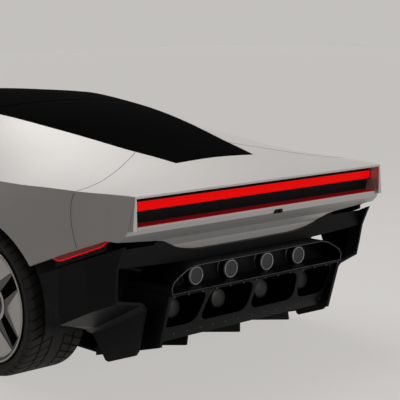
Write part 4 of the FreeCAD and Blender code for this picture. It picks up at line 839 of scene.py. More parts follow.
# %% [markdown]
# Four tailpipes end in the hexagonal panel. Each gets a bright rolled lip, and a wire mesh a little inside that
# hides the pipe's dark end. The mesh is a grid cut to a disc and turned to wires with one operator. A black collar
# with four screws holds each pipe, and a fine grey line edges the panel.

# %% Tailpipe lips and meshes
PIPES, PIPE_HEIGHT = (0.126, 0.357), 0.541
SCREW_ANGLES = [math.radians(degrees) for degrees in (30, 150, 210, 330)]


def round_pipe(bm, y, steps, outline):
    """A turned form about a tailpipe's own axis; its outline is (radius, X)."""
    turned(bm, outline, (0, y, PIPE_HEIGHT), AHEAD, steps, across=UP)


bm = bmesh.new()
for y in PIPES:
    round_pipe(bm, y, 56, [(0.0392, -2.2085), (0.0390, -2.2125), (0.0400, -2.2138), (0.0412, -2.2138),
                           (0.0422, -2.2125), (0.0420, -2.2085)])
on_both_sides("pipe_lips", bm, bright_steel)
bm = bmesh.new()
for y in PIPES:
    grid_mesh(bm, (-2.2100, y, PIPE_HEIGHT), 0.0405, 0.0405, 0.0048, 0.0016,
              inside=lambda a, b: math.hypot(a, b) < 0.0392)
    round_pipe(bm, y, 40, [(0, -2.2060), (0.0375, -2.2060), (0.0392, -2.2100), (0.0392, -2.2050), (0, -2.2050)])
on_both_sides("pipe_meshes", bm, mesh_grey)
bm = bmesh.new()
for y in PIPES:
    round_pipe(bm, y, 56, [(0.0418, -2.2085), (0.0418, -2.2110), (0.0450, -2.2122), (0.0484, -2.2112),
                           (0.0492, -2.2085)])
    round_pipe(bm, y, 48, [(0.0505, -2.1715), (0.0505, -2.1740), (0.0530, -2.1752), (0.0570, -2.1740),
                           (0.0570, -2.1715)])
    for turn in SCREW_ANGLES:
        turned(bm, [(0, -2.1715), (0.0035, -2.1715), (0.0035, -2.1738), (0.0022, -2.1750), (0, -2.1750)],
               (0, y + 0.066 * math.cos(turn), PIPE_HEIGHT + 0.066 * math.sin(turn)), AHEAD, 10)
on_both_sides("pipe_collars", bm, satin_black)
edge_line = [(0.583, 0.498), (0.5872, 0.531), (0.571, 0.5555), (0.5355, 0.578), (0.4868, 0.6025), (0.4298, 0.6142)]
bm = bmesh.new()
tube(bm, [(-2.3004, y, z) for y, z in edge_line] + [(-2.3004, -y, z) for y, z in edge_line[::-1]], 0.0013,
     closed=True)
finish_piece("panel_rim", bm, mesh_grey)
print("pipes at", PIPES, "height", PIPE_HEIGHT)

# %% [markdown]
# Through the four windows of the diffuser the rear silencers show. Each is a round drum, one turned section with a
# raised band. Two rods hang it from the panel above, and a pipe leads into it from the front.

# %% Silencers behind the diffuser
DRUMS, DRUM_HEIGHT = (0.150, 0.452), 0.386
bm = bmesh.new()
for y in DRUMS:
    turned(bm, [(0, -2.152), (0.030, -2.152), (0.046, -2.146), (0.052, -2.134), (0.052, -2.096), (0.055, -2.094),
                (0.055, -2.080), (0.052, -2.078), (0.052, -1.980), (0.040, -1.960), (0, -1.960)],
           (0, y, DRUM_HEIGHT), AHEAD, 36, across=UP)
    for x in (-2.088, -2.000):
        tube(bm, [(x, y, 0.438), (x, y, 0.4800)], 0.004)
    tube(bm, [(-1.965, y, DRUM_HEIGHT), (-1.900, y, 0.400), (-1.850, y, 0.430)], 0.022, around=3)
on_both_sides("silencers", bm, muffler)
print("drums at", DRUMS, "height", DRUM_HEIGHT)

# %% [markdown]
# The diffuser's face is a raked plate with four rounded windows. Their outlines are drawn flat first. The dividers
# lean outwards, so a window's corners follow from the two dividers beside it.

# %% Outlines of the diffuser's windows
PLATE_TOP, PLATE_LOW, PLATE_HALF = 0.4850, 0.2420, 0.580
WINDOW_TOP, WINDOW_LOW, WINDOW_CORNER = 0.474, 0.312, 0.058
FIN_HALF = 0.011
# Y of each divider at the frame's top, and how far it leans outwards for each metre down
FINS = ((0.575, 0), (0.310, 0.18), (0.0, 0), (-0.310, -0.18), (-0.575, 0))
FRAME_TOP, FRAME_X, RAKE = 0.4897, -2.265, 0.4205


def rounded(corners, radius, steps=6):
    """A closed outline with each corner rounded."""
    result = []
    for k, here in enumerate(corners):
        here, before, after = Vector(here), Vector(corners[k - 1]), Vector(corners[(k + 1) % len(corners)])
        start, stop = here + (before - here).normalized() * radius, here + (after - here).normalized() * radius
        for i in range(steps + 1):
            t = i / steps
            result.append((1 - t) ** 2 * start + 2 * t * (1 - t) * here + t * t * stop)
    return result


def fin_line(k, z):
    """Y of a divider between two windows at a height."""
    return FINS[k][0] + FINS[k][1] * (FRAME_TOP - z)


outlines = [[Vector((y, z)) for y, z in ((PLATE_HALF, PLATE_TOP), (PLATE_HALF, PLATE_LOW), (-PLATE_HALF, PLATE_LOW),
                                         (-PLATE_HALF, PLATE_TOP))]]
for k in range(len(FINS) - 1):
    outlines.append(rounded([(fin_line(k, WINDOW_TOP) - FIN_HALF, WINDOW_TOP),
                             (fin_line(k, WINDOW_LOW) - FIN_HALF, WINDOW_LOW),
                             (fin_line(k + 1, WINDOW_LOW) + FIN_HALF, WINDOW_LOW),
                             (fin_line(k + 1, WINDOW_TOP) + FIN_HALF, WINDOW_TOP)], WINDOW_CORNER))
print("windows in the diffuser", len(outlines) - 1)

# %% [markdown]
# Holes could be cut out with a boolean, but a filled curve does it in one go: its inner outlines stay open, and it
# has a thickness and a small bevel. Its mesh is then leaned to the frame's rake.

# %% Diffuser face plate
plate_line = bpy.data.curves.new("plate", "CURVE")
plate_line.dimensions = "2D"
plate_line.fill_mode = "BOTH"
plate_line.extrude = 0.0012
plate_line.bevel_depth = 0.0008
for outline in outlines:
    spline = plate_line.splines.new("POLY")
    spline.points.add(len(outline) - 1)
    for place, point in zip(spline.points, outline):
        place.co = (point.x, point.y, 0, 1)
    spline.use_cyclic_u = True
holder = bpy.data.objects.new("plate", plate_line)
mesh = bpy.data.meshes.new_from_object(holder)
bm = bmesh.new()
bm.from_mesh(mesh)
bpy.data.objects.remove(holder)
bpy.data.curves.remove(plate_line)
bpy.data.meshes.remove(mesh)
for v in bm.verts:
    y, z, out = v.co
    v.co = Vector((FRAME_X + (FRAME_TOP - z) * RAKE - 0.0034 - out, y, z))
bmesh.ops.remove_doubles(bm, verts=bm.verts, dist=1e-5)
bmesh.ops.recalc_face_normals(bm, faces=bm.faces)
finish_piece("diffuser_face", bm, carbon)
print("plate of", round(2 * PLATE_HALF, 3), "by", round(PLATE_TOP - PLATE_LOW, 3))

# %% [markdown]
# Two rows of small screws hold the diffuser's frame. The frame leans, so a ray finds the depth of each screw. Typing
# fourteen depths would be quicker once, but wrong as soon as the rake changes.

# %% Diffuser screws
diffuser_skin = surface_of("diffuser")
bm = bmesh.new()
screws = [(0.03 + 0.09 * k, 0.4835) for k in range(7)] + [(0.05 + 0.085 * k, 0.272) for k in range(7)]
for y, z in screws:
    turned(bm, [(0, -0.003), (0.0050, -0.004), (0.0046, -0.0066), (0.0026, -0.0074), (0, -0.0074)],
           laid_on(diffuser_skin, (-2.6, y, z), AHEAD), AHEAD, 12)
on_both_sides("diffuser_screws", bm, satin_black)
print("screws each side", len(screws))

# %% [markdown]
# Panels meet at shut lines: gaps of 4 mm whose shade shows as fine dark lines. The CAD body has the large ones. The
# curved line between haunch and tail is laid on the skin here: points are dropped onto it and that shade is painted
# as a thin dark tube along them, half inside the surface. Cutting a real groove would need a boolean on the haunch's
# curved solid.

# %% Shut lines on the skin
SUNK = -0.0006
flank_skin = surface_of("side_panel_left", "tail_panel")


def seam(bm, points, radius=0.0016, closed=False):
    """A dark line of painted gap shade, half sunk in the surface; returns how many of its points met the surface."""
    points = [p for p in points if p is not None]
    tube(bm, points, radius, around=1, closed=closed)
    return len(points)


def between(stops, count):
    """Evenly spaced points along a smooth line through stops."""
    result = []
    for k in range(count):
        s = k / (count - 1) * (len(stops) - 1)
        i = min(int(s), len(stops) - 2)
        t = s - i
        before, a, b, after = stops[max(i - 1, 0)], stops[i], stops[i + 1], stops[min(i + 2, len(stops) - 1)]
        result.append(tuple(0.5 * (2 * q + (r - p) * t + (2 * p - 5 * q + 4 * r - w) * t * t
                                   + (3 * q - p - 3 * r + w) * t ** 3)
                            for p, q, r, w in zip(before, a, b, after)))
    return result


bm = bmesh.new()
top_stops = [(-1.700, 0.290), (-1.757, 0.355), (-1.850, 0.492), (-1.919, 0.607), (-1.985, 0.735), (-2.022, 0.840),
             (-2.030, 0.912)]
count = seam(bm, [laid_on(flank_skin, (x, y, 1.5), DOWN, SUNK) for x, y in between(top_stops, 60)])
side_stops = [(-2.020, 0.975), (-2.004, 0.933), (-2.006, 0.852), (-2.022, 0.784), (-2.040, 0.725)]
count += seam(bm, [laid_on(flank_skin, (x, 1.3, z), INWARDS, SUNK) for x, z in between(side_stops, 30)])
on_both_sides("tail_seam", bm, shadow_gap)
print("seam points", count)

# %% [markdown]
# The door opens by a flush handle: a slim bar in a recess under the window, whose shade is painted as a dark line
# round it. A rubber strip runs along the side glass, where door and glass meet. That line is found by looking down
# the side until the door comes out past the glass, so it follows them when they change.

# %% Door handles and glass strips
DOORS = ("door_left", "door_right")
door_skin = surface_of("door_left")
glass_skin = surface_of("door_glass_left")
bm = bmesh.new()
handle = [laid_on(door_skin, (-0.335 + 0.024 * k, 1.3, 0.800 + 0.0016 * k), INWARDS, -0.0005) for k in range(8)]
tube(bm, handle, 0.0060, around=3)
on_both_sides("door_handle", bm, silver_paint, DOORS)
# A dark line of painted shade runs round the recess.
recess = [(-0.345, 0.789), (-0.348, 0.800), (-0.343, 0.811), (-0.250, 0.818), (-0.158, 0.824), (-0.152, 0.813),
          (-0.157, 0.802), (-0.250, 0.795), (-0.345, 0.789)]
bm = bmesh.new()
seam(bm, [laid_on(door_skin, (x, 1.3, z), INWARDS, SUNK) for x, z in between(recess, 49)[:-1]], 0.0018, closed=True)
on_both_sides("handle_recess_painted_shade", bm, shadow_gap, DOORS)


def top_of_door(x):
    """The highest point, seen from the left, at which the door stands out past its glass."""
    z = 1.15
    while z > 0.80:
        on_glass, on_door = (laid_on(skin, (x, 1.3, z), INWARDS) for skin in (glass_skin, door_skin))
        if on_door is not None and (on_glass is None or on_door.y >= on_glass.y):
            return on_door
        z -= 0.002
    return None


strip = [top_of_door(-0.355 + 0.024 * k) + Vector((0, 0.0006, 0.0012)) for k in range(47)]
bm = bmesh.new()
tube(bm, strip, 0.0032)
on_both_sides("glass_strip", bm, black_plastic, DOORS)
print("glass strip points", len(strip))

# %% [markdown]
# Each mirror's glass is a flat oval just in front of its housing. It is a turned disc, squeezed to an oval and set 8
# degrees towards the driver. A ray finds how far back the housing's face lies.

# %% Mirror glass
GLASS_HALF_WIDTH, GLASS_HALF_HEIGHT = 0.040, 0.023
MIRROR_TURN = Matrix.Rotation(math.radians(-8), 3, "Z")
glass_at = laid_on(surface_of("mirror_left"), (0.3, 1.040, 0.978), AHEAD)
bm = bmesh.new()
turned(bm, [(0, -0.0010), (0.90, -0.0010), (1.0, 0.0), (1.0, 0.004), (0, 0.004)], ORIGIN, AHEAD, 40, across=UP)
bmesh.ops.scale(bm, vec=(1, GLASS_HALF_WIDTH, GLASS_HALF_HEIGHT), verts=bm.verts)
bmesh.ops.rotate(bm, cent=ORIGIN, matrix=MIRROR_TURN, verts=bm.verts)
bmesh.ops.translate(bm, vec=glass_at + Vector((-0.0022, 0, 0)), verts=bm.verts)
on_both_sides("mirror_glass", bm, mirror_silver, DOORS)
print("mirror glass at", [round(c, 3) for c in glass_at])

# %% [markdown]
# In front, each headlamp is a slim bar with four small projector lenses in black rings. The intakes carry a moulded
# grille whose cells are 14 mm wide, drawn from a grid that is thickened to bars.

# %% Headlamp units and intake grilles
GRILLE_X, GRILLE_CELL, GRILLE_BAR = 2.165, 0.014, 0.0028
PROJECTORS = [0.46 + 0.052 * k for k in range(4)]
lamp_low, lamp_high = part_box("headlamps")
lamp_skin = surface_of("headlamps")
rings, lenses = bmesh.new(), bmesh.new()
for y in PROJECTORS:
    spot = laid_on(lamp_skin, (3, y, 0.5465), BACK)
    turned(rings, [(0.0085, 0.0012), (0.0115, 0.0012), (0.0115, -0.003), (0.0085, -0.003)], spot, AHEAD, 24)
    turned(lenses, [(0, 0.0022), (0.004, 0.0018), (0.0080, 0.0002), (0.0082, -0.001), (0, -0.001)], spot, AHEAD, 24)
on_both_sides("lamp_rings", rings, black_plastic)
on_both_sides("lamp_projectors", lenses, clear_glass)
bm = bmesh.new()
grid_mesh(bm, (GRILLE_X, 0.465, 0.3325), 0.123, 0.0605, GRILLE_CELL, GRILLE_BAR)
on_both_sides("side_grille", bm, black_plastic)
bm = bmesh.new()
grid_mesh(bm, (GRILLE_X, 0, 0.305), 0.153, 0.063, GRILLE_CELL, GRILLE_BAR)
finish_piece("middle_grille", bm, black_plastic)
print("lamp box", [round(c, 3) for c in lamp_low], [round(c, 3) for c in lamp_high])

# %% [markdown]
# One large wiper rests along the foot of the windscreen. Its arm and rubber follow the glass, found by dropping
# points onto it. The fuel flap on the right haunch is an oval line of painted gap shade, sunk like the shut lines.

# %% Wiper and fuel flap
screen_skin = surface_of("windscreen")
blade = [laid_on(screen_skin, (1.085 - 0.00045 * (k - 14) ** 2, -0.42 + 0.030 * k, 1.6), DOWN, 0.007)
         for k in range(29)]
root = laid_on(screen_skin, (1.150, -0.02, 1.6), DOWN, 0.006)
bm = bmesh.new()
tube(bm, blade, 0.0042)
tube(bm, [p + Vector((0.002, 0, 0.010)) for p in blade[6:-6]], 0.0030)
tube(bm, [root, root + Vector((-0.006, 0.03, 0.016)), blade[len(blade) // 2] + Vector((0.004, 0, 0.018))], 0.0055)
turned(bm, [(0, -0.004), (0.016, -0.004), (0.016, 0.006), (0.012, 0.012), (0, 0.014)], root, UP, 20)
finish_piece("wiper", bm, satin_black)
haunch_skin = surface_of("side_panel_right")
# The flap's gap is a dark line of painted shade.
oval = [(-0.86 + 0.070 * math.cos(math.tau * k / 48), -0.80 + 0.060 * math.sin(math.tau * k / 48), 1.5)
        for k in range(48)]
bm = bmesh.new()
count = seam(bm, [laid_on(haunch_skin, spot, DOWN, SUNK) for spot in oval], closed=True)
finish_piece("fuel_flap_line", bm, shadow_gap)
print("wiper points", len(blade), "fuel flap points", count)

# %% [markdown]
# A sports seat is a moulded shell with leather pads: a cushion, a tall back with sewn channels, raised bolsters at
# the sides and a head pad. Each pad starts as a cube cut into a fine grid. Its sides are drawn in between the
# corners and its top is crowned, then channels are pressed in where the seams run. Firm foam barely sags, so the
# pads are shaped by moving vertices rather than by a cloth simulation.

# %% Shape of a pad
SEAT_ORIGIN = Vector((-0.2376, 0.400, 0.1463))
# Half the width of a sewn channel, as a share of the pad's half width or length
ALONG_WIDTH, ACROSS_WIDTH = 0.030, 0.022


def pad(size, crown, channels=(), cross=(), pull=0.05, cuts=26, depth=0.006):
    """A crowned pad about the origin; channels run along X at shares of the width, cross ones along Y."""
    bm = bmesh.new()
    bmesh.ops.create_cube(bm, size=2)
    bmesh.ops.subdivide_edges(bm, edges=bm.edges[:], cuts=cuts, use_grid_fill=True)
    for v in bm.verts:
        ball = v.co.normalized() * max(abs(c) for c in v.co)
        shape = v.co.lerp(ball, 0.24)
        drawn = 1 - pull * (1 - shape.x ** 2) * abs(shape.y) ** 6
        top = max(0.0, shape.z)
        rise = crown * (1 - min(1, shape.x ** 2)) * (1 - min(1, shape.y ** 2)) * top
        press = sum(math.exp(-((shape.y - place) / ALONG_WIDTH) ** 2) for place in channels)
        press += sum(math.exp(-((shape.x - place) / ACROSS_WIDTH) ** 2) for place in cross)
        v.co = Vector((shape.x * size[0] / 2, shape.y * size[1] / 2 * drawn,
                       shape.z * size[2] / 2 + rise - depth * min(press, 1.2) * top))
    return bm


def seat_place(bm, middle, tilt, lean=0.0):
    """Turns a pad by its lean about X and its tilt about Y, and moves it to a place measured from the seat."""
    bmesh.ops.rotate(bm, cent=ORIGIN, matrix=Matrix.Rotation(math.radians(lean), 3, "X"), verts=bm.verts)
    bmesh.ops.rotate(bm, cent=ORIGIN, matrix=Matrix.Rotation(math.radians(-tilt), 3, "Y"), verts=bm.verts)
    bmesh.ops.translate(bm, vec=SEAT_ORIGIN + Vector(middle), verts=bm.verts)
    return bm


print("seat stands at", [round(c, 3) for c in SEAT_ORIGIN])

# %% [markdown]
# The pads differ in size, crown, channels and tilt, so they are rows of a table and one loop makes them.

# %% Seat pads
CUSHION_TILT, BACK_TILT, HEAD_TILT, BOLSTER_LEAN = 9.5, 115.5, 112.0, 14
# Name, size, crown, channels along and across, place, tilt
PADS = (
    ("cushion", (0.350, 0.300, 0.075), 0.018, (-0.34, 0.34), (-0.1, 0.42), (0.285, 0, 0.098), CUSHION_TILT),
    ("back", (0.540, 0.290, 0.070), 0.014, (-0.38, 0.38), (-0.62, -0.3, 0.02, 0.34, 0.66), (-0.098, 0, 0.395),
     BACK_TILT),
    ("head", (0.115, 0.230, 0.060), 0.010, (), (0.0,), (-0.262, 0, 0.690), HEAD_TILT))
# Name, size, crown, distance from the seat's middle, place, tilt
BOLSTERS = (("thigh", (0.340, 0.085, 0.105), 0.010, 0.190, (0.290, 0, 0.112), CUSHION_TILT),
            ("side", (0.420, 0.085, 0.125), 0.012, 0.187, (-0.060, 0, 0.385), BACK_TILT))
for name, size, crown, channels, cross, middle, tilt in PADS:
    cushion = seat_place(pad(size, crown, channels, cross), middle, tilt)
    for one in on_both_sides("seat_" + name, cushion, hide, smooth=60):
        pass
for name, size, crown, away, middle, tilt in BOLSTERS:
    for turn, where in ((1, "out"), (-1, "in")):
        bolster = pad(size, crown, (0.0,), (), cuts=18, depth=0.004)
        seat_place(bolster, Vector(middle) + Vector((0, turn * away, 0)), tilt, turn * BOLSTER_LEAN)
        for each in on_both_sides("seat_%s_%s" % (name, where), bolster, hide, smooth=60):
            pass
print("seat pads", 2 * (len(PADS) + 2 * len(BOLSTERS)))

# %% [markdown]
# The shell behind the pads is one moulding. A bent line, the seat seen from the side, is extruded across it. Its
# bends are rounded with bevel, and solidify gives it a wall of 6 mm. It takes the place of the solids' plain seats.

# %% Seat shells
SHELL_HALF = 0.236
PROFILE = ((0.492, 0.112), (0.468, 0.062), (0.000, 0.006), (-0.116, 0.062), (-0.322, 0.715), (-0.290, 0.752))
bm = bmesh.new()
front = [bm.verts.new(SEAT_ORIGIN + Vector((x, -SHELL_HALF, z))) for x, z in PROFILE]
line = [bm.edges.new(pair) for pair in zip(front, front[1:])]
over = bmesh.ops.extrude_edge_only(bm, edges=line)["geom"]
bmesh.ops.translate(bm, vec=(0, 2 * SHELL_HALF, 0), verts=[g for g in over if isinstance(g, bmesh.types.BMVert)])
bmesh.ops.bevel(bm, geom=[e for e in bm.edges if len(e.link_faces) == 2], offset=0.03, segments=4, affect="EDGES",
                profile=0.5, material=-1)
bmesh.ops.recalc_face_normals(bm, faces=bm.faces)
bmesh.ops.solidify(bm, geom=bm.faces[:], thickness=0.006)
for y in (-0.16, 0.16):
    slab(bm, SEAT_ORIGIN + Vector((0.02, y - 0.016, -0.0005)), SEAT_ORIGIN + Vector((0.44, y + 0.016, 0.012)), 0.002)
shells = on_both_sides("seat_shell", bm, carbon)
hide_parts("seats")
print("seat shells", len(shells))

# %% [markdown]
# Belts are flat woven straps 46 mm wide that lie across the seat. A strip of edges is extruded from point to point
# and given its thickness. A buckle stands beside the tunnel.

# %% Seat belts


def strap(bm, points, width, thickness):
    """A flat strap along points, as wide as width across the car; it is made in an empty bmesh."""
    half = Vector((0, width / 2, 0))
    edge_now = bm.edges.new([bm.verts.new(points[0] - half), bm.verts.new(points[0] + half)])
    for here, there in zip(points, points[1:]):
        made = bmesh.ops.extrude_edge_only(bm, edges=[edge_now])["geom"]
        bmesh.ops.translate(bm, vec=there - here, verts=[g for g in made if isinstance(g, bmesh.types.BMVert)])
        edge_now = [g for g in made if isinstance(g, bmesh.types.BMEdge) and all(v in made for v in g.verts)][0]
    bmesh.ops.solidify(bm, geom=bm.faces[:], thickness=thickness)


BELT_WIDTH, BELT_THICKNESS = 0.046, 0.0016
BELT = ((-0.250, 0.150, 0.640), (-0.100, 0.120, 0.480), (0.005, 0.060, 0.300), (0.080, -0.060, 0.190),
        (0.080, -0.180, 0.165), (0.070, -0.243, 0.120))
bm = bmesh.new()
belt_line = [SEAT_ORIGIN + Vector(point) for point in BELT]
strap(bm, belt_line, BELT_WIDTH, BELT_THICKNESS)
on_both_sides("belt", bm, webbing)
bm = bmesh.new()
slab(bm, SEAT_ORIGIN + Vector((0.040, -0.262, 0.040)), SEAT_ORIGIN + Vector((0.072, -0.246, 0.150)), 0.004)
slab(bm, SEAT_ORIGIN + Vector((0.036, -0.264, 0.150)), SEAT_ORIGIN + Vector((0.078, -0.244, 0.172)), 0.004)
on_both_sides("belt_buckle", bm, black_plastic)
print("belt length", round(sum((b - a).length for a, b in zip(belt_line, belt_line[1:])), 3))

# %% [markdown]
# The dashboard carries a driver's display under a small hood, a middle screen on a shelf and four air vents with
# slats. The displays show plain bars and tiles, with no words. They are thin slabs, not a picture, so that they stay
# sharp from near by.

# %% Dashboard
bm = bmesh.new()
slab(bm, (0.672, 0.295, 0.770), (0.775, 0.505, 0.842), 0.012, 3)
slab(bm, (0.604, -0.150, 0.640), (0.700, 0.150, 0.672), 0.010, 3)
slab(bm, (0.575, -0.085, 0.742), (0.592, 0.085, 0.838), 0.006, 3)
finish_piece("dash_mouldings", bm, hide)
bm = bmesh.new()
slab(bm, (0.6695, 0.308, 0.790), (0.6735, 0.492, 0.834), 0.001)
slab(bm, (0.572, -0.077, 0.748), (0.576, 0.077, 0.832), 0.001)
finish_piece("dash_screens", bm, gloss_black)
bm = bmesh.new()
for k in range(9):
    tall = 0.006 + 0.0024 * (4 - abs(k - 4))
    slab(bm, (0.6683, 0.340 + 0.014 * k, 0.802), (0.6697, 0.348 + 0.014 * k, 0.802 + tall), 0.0003, 1)
for row in range(2):
    for k in range(3):
        slab(bm, (0.5708, -0.060 + 0.044 * k, 0.760 + 0.034 * row), (0.5722, -0.028 + 0.044 * k, 0.784 + 0.034 * row),
             0.0004, 1)
finish_piece("screen_marks", bm, screen_glow)
bm = bmesh.new()
for y in (-0.638, -0.165, 0.165, 0.638):
    slab(bm, (0.590, y - 0.044, 0.708), (0.622, y + 0.044, 0.748), 0.005)
    for k in range(5):
        slab(bm, (0.586, y - 0.039, 0.7125 + 0.0072 * k), (0.592, y + 0.039, 0.7150 + 0.0072 * k), 0.0006, 1)
finish_piece("air_vents", bm, black_plastic)
print("vents", 4, "tiles", 6)

# %% [markdown]
# The tunnel has a leather console with an armrest, a selector, two cup rings and a row of switches. Two ribbed
# pedals hang in front of the driver.

# %% Console and pedals
bm = bmesh.new()
slab(bm, (-0.420, -0.098, 0.332), (0.560, 0.098, 0.372), 0.016, 3)
slab(bm, (-0.300, -0.070, 0.372), (-0.020, 0.070, 0.402), 0.014, 3)
finish_piece("console", bm, hide)
bm = bmesh.new()
slab(bm, (0.060, -0.060, 0.372), (0.330, 0.060, 0.376), 0.002)
turned(bm, [(0, 0.374), (0.022, 0.374), (0.020, 0.386), (0.010, 0.392), (0.009, 0.424), (0.020, 0.432),
            (0.021, 0.450), (0.012, 0.458), (0, 0.458)], (0.120, 0, 0), UP, 28)
for x in (0.235, 0.300):
    turned(bm, [(0.026, 0.3755), (0.031, 0.3755), (0.031, 0.3795), (0.026, 0.3795)], (x, 0, 0), UP, 28)
for k in range(6):
    slab(bm, (0.155 + 0.0105 * k, -0.052, 0.3755), (0.1625 + 0.0105 * k, -0.034, 0.3790), 0.001, 1)
finish_piece("console_controls", bm, bright_steel)
bm = bmesh.new()
for y, wide in ((0.330, 0.030), (0.440, 0.024)):
    slab(bm, (0.905, y - wide, 0.215), (0.913, y + wide, 0.300), 0.003)
    for k in range(5):
        slab(bm, (0.9025, y - wide + 0.006, 0.224 + 0.015 * k), (0.9055, y + wide - 0.006, 0.230 + 0.015 * k),
             0.001, 1)
    tube(bm, [(0.912, y, 0.285), (0.955, y, 0.330), (1.003, y, 0.350)], 0.007)
finish_piece("pedals", bm, bright_steel)
print("pedals", 2)

# %% [markdown]
# The steering wheel's ring comes from the CAD. It gets a padded boss with three spokes, two shift paddles, six
# buttons and a round cap without any mark. All are made flat at the origin and then tilted into place with one matrix.

# %% Steering wheel details
WHEEL_MIDDLE = Vector((0.570, 0.400, 0.700))
TILT = Matrix.Rotation(math.radians(22), 3, "Y")


def on_wheel(bm):
    """Tilts a piece made at the origin into the steering wheel's place."""
    bmesh.ops.rotate(bm, cent=ORIGIN, matrix=TILT, verts=bm.verts)
    bmesh.ops.translate(bm, vec=WHEEL_MIDDLE, verts=bm.verts)
    return bm


bm = bmesh.new()
slab(bm, (-0.034, -0.060, -0.052), (-0.004, 0.060, 0.046), 0.016, 3)
for side in SIDES:
    slab(bm, (-0.020, side * 0.100 - 0.044, -0.017), (-0.004, side * 0.100 + 0.044, 0.017), 0.0075, 3)
slab(bm, (-0.018, -0.016, -0.150), (-0.005, 0.016, -0.045), 0.006, 3)
finish_piece("wheel_boss", on_wheel(bm), hide, "steering_wheel")
bm = bmesh.new()
for side in SIDES:
    slab(bm, (0.006, side * 0.108 - 0.030, -0.002), (0.010, side * 0.108 + 0.030, 0.075), 0.0018)
    for k in range(3):
        y = side * 0.100 - 0.024 + 0.018 * k
        slab(bm, (-0.0225, y, -0.006), (-0.0195, y + 0.012, 0.006), 0.0012, 1)
turned(bm, [(0, -0.036), (0.017, -0.036), (0.019, -0.0335), (0, -0.0335)], ORIGIN, AHEAD, 32)
finish_piece("wheel_controls", on_wheel(bm), bright_steel, "steering_wheel")
print("steering wheel at", [round(c, 3) for c in WHEEL_MIDDLE])

# %% [markdown]
# The engine is one plain block in the CAD. On top of it the scene sets what one sees when the rear glass is open:
# two ribbed cam covers, a plenum fed by curved runners, and coil packs with their leads.

# %% Top of the engine
BANK = 0.188
CYLINDERS = [-1.230 + 0.125 * k for k in range(4)]
bm = bmesh.new()
for side in SIDES:
    inner, outer = side * BANK - 0.072, side * BANK + 0.072
    slab(bm, (-1.320, inner, 0.590), (-0.760, outer, 0.642), 0.012, 3)
    for k in range(9):
        slab(bm, (-1.296 + 0.064 * k, inner + 0.006, 0.640), (-1.284 + 0.064 * k, outer - 0.006, 0.648), 0.002, 1)
finish_piece("cam_covers", bm, cast_metal)
bm = bmesh.new()
slab(bm, (-1.300, -0.095, 0.700), (-0.790, 0.095, 0.792), 0.030, 4)
for x in CYLINDERS:
    for side in SIDES:
        tube(bm, [(x, side * 0.060, 0.760), (x, side * 0.130, 0.770), (x, side * 0.178, 0.725),
                  (x, side * 0.182, 0.640)], 0.026, around=4, round_line=True)
finish_piece("plenum", bm, plenum_red)
bm = bmesh.new()
for x in CYLINDERS:
    for side in SIDES:
        slab(bm, (x + 0.036, side * 0.226 - 0.016, 0.640), (x + 0.072, side * 0.226 + 0.016, 0.672), 0.004)
        tube(bm, [(x + 0.054, side * 0.226, 0.668), (x + 0.054, side * 0.250, 0.690),
                  (x + 0.090, side * 0.262, 0.660)], 0.004, round_line=True)
for side in SIDES:
    tube(bm, [(-1.32, side * 0.262, 0.655), (-0.76, side * 0.262, 0.655)], 0.007)
finish_piece("coils", bm, black_plastic)
print("cylinders", 2 * len(CYLINDERS))

# %% [markdown]
# Round the block come the belt's pulleys in front, the main silencers with their pipes behind, two filler caps, and
# a brace of tubes that stiffens the body over the engine. Pulleys and caps are turned, the rest is slabs and tubes.

# %% Pulleys, silencers and brace
# Y, Z and radius of each pulley
PULLEYS = ((-0.17, 0.28, 0.030), (-0.06, 0.36, 0.042), (0.05, 0.26, 0.054), (0.17, 0.34, 0.030), (0.0, 0.47, 0.042))
BRACE_RADIUS = 0.014
bm = bmesh.new()
for y, z, radius in PULLEYS:
    turned(bm, [(0.0, -0.718), (radius, -0.718), (radius, -0.700), (0.0, -0.700)], (0, y, z), AHEAD, 28)
finish_piece("pulleys", bm, dark_steel)
bm = bmesh.new()
for side in SIDES:
    tube(bm, [(-1.36, side * 0.20, 0.42), (-1.46, side * 0.22, 0.52), (-1.60, side * 0.20, 0.60),
              (-1.72, side * 0.20, 0.60)], 0.030, around=4, round_line=True)
    slab(bm, (-2.000, side * 0.260 - 0.190, 0.510), (-1.700, side * 0.260 + 0.190, 0.640), 0.040, 4)
    for x in (-1.93, -1.77):
        slab(bm, (x - 0.010, side * 0.260 - 0.193, 0.507), (x + 0.010, side * 0.260 + 0.193, 0.643), 0.041, 4)
finish_piece("rear_silencers", bm, dark_steel)
bm = bmesh.new()
turned(bm, [(0, 0.642), (0.024, 0.642), (0.026, 0.655), (0.020, 0.664), (0, 0.664)], (-0.82, BANK, 0), UP, 24)
turned(bm, [(0, 0.792), (0.046, 0.792), (0.046, 0.806), (0.040, 0.812), (0, 0.812)], (-0.86, 0, 0), UP, 32)
for side in SIDES:
    tube(bm, [(-0.64, side * 0.360, 0.98), (-1.30, side * 0.345, 0.86)], BRACE_RADIUS, around=3)
tube(bm, [(-1.30, -0.345, 0.86), (-1.30, 0.345, 0.86)], BRACE_RADIUS, around=3)
finish_piece("engine_brace", bm, satin_black)
print("pulleys", len(PULLEYS))

# %% [markdown]
# Under the front lid is a carpeted luggage well. It is an open box: a bevelled cube without its top face, given
# its thickness with solidify. A flat carpeted surround of six slabs closes the space between the box and the
# opening, so that one doesn't look past the box onto the road. It stays clear of the steered wheels.

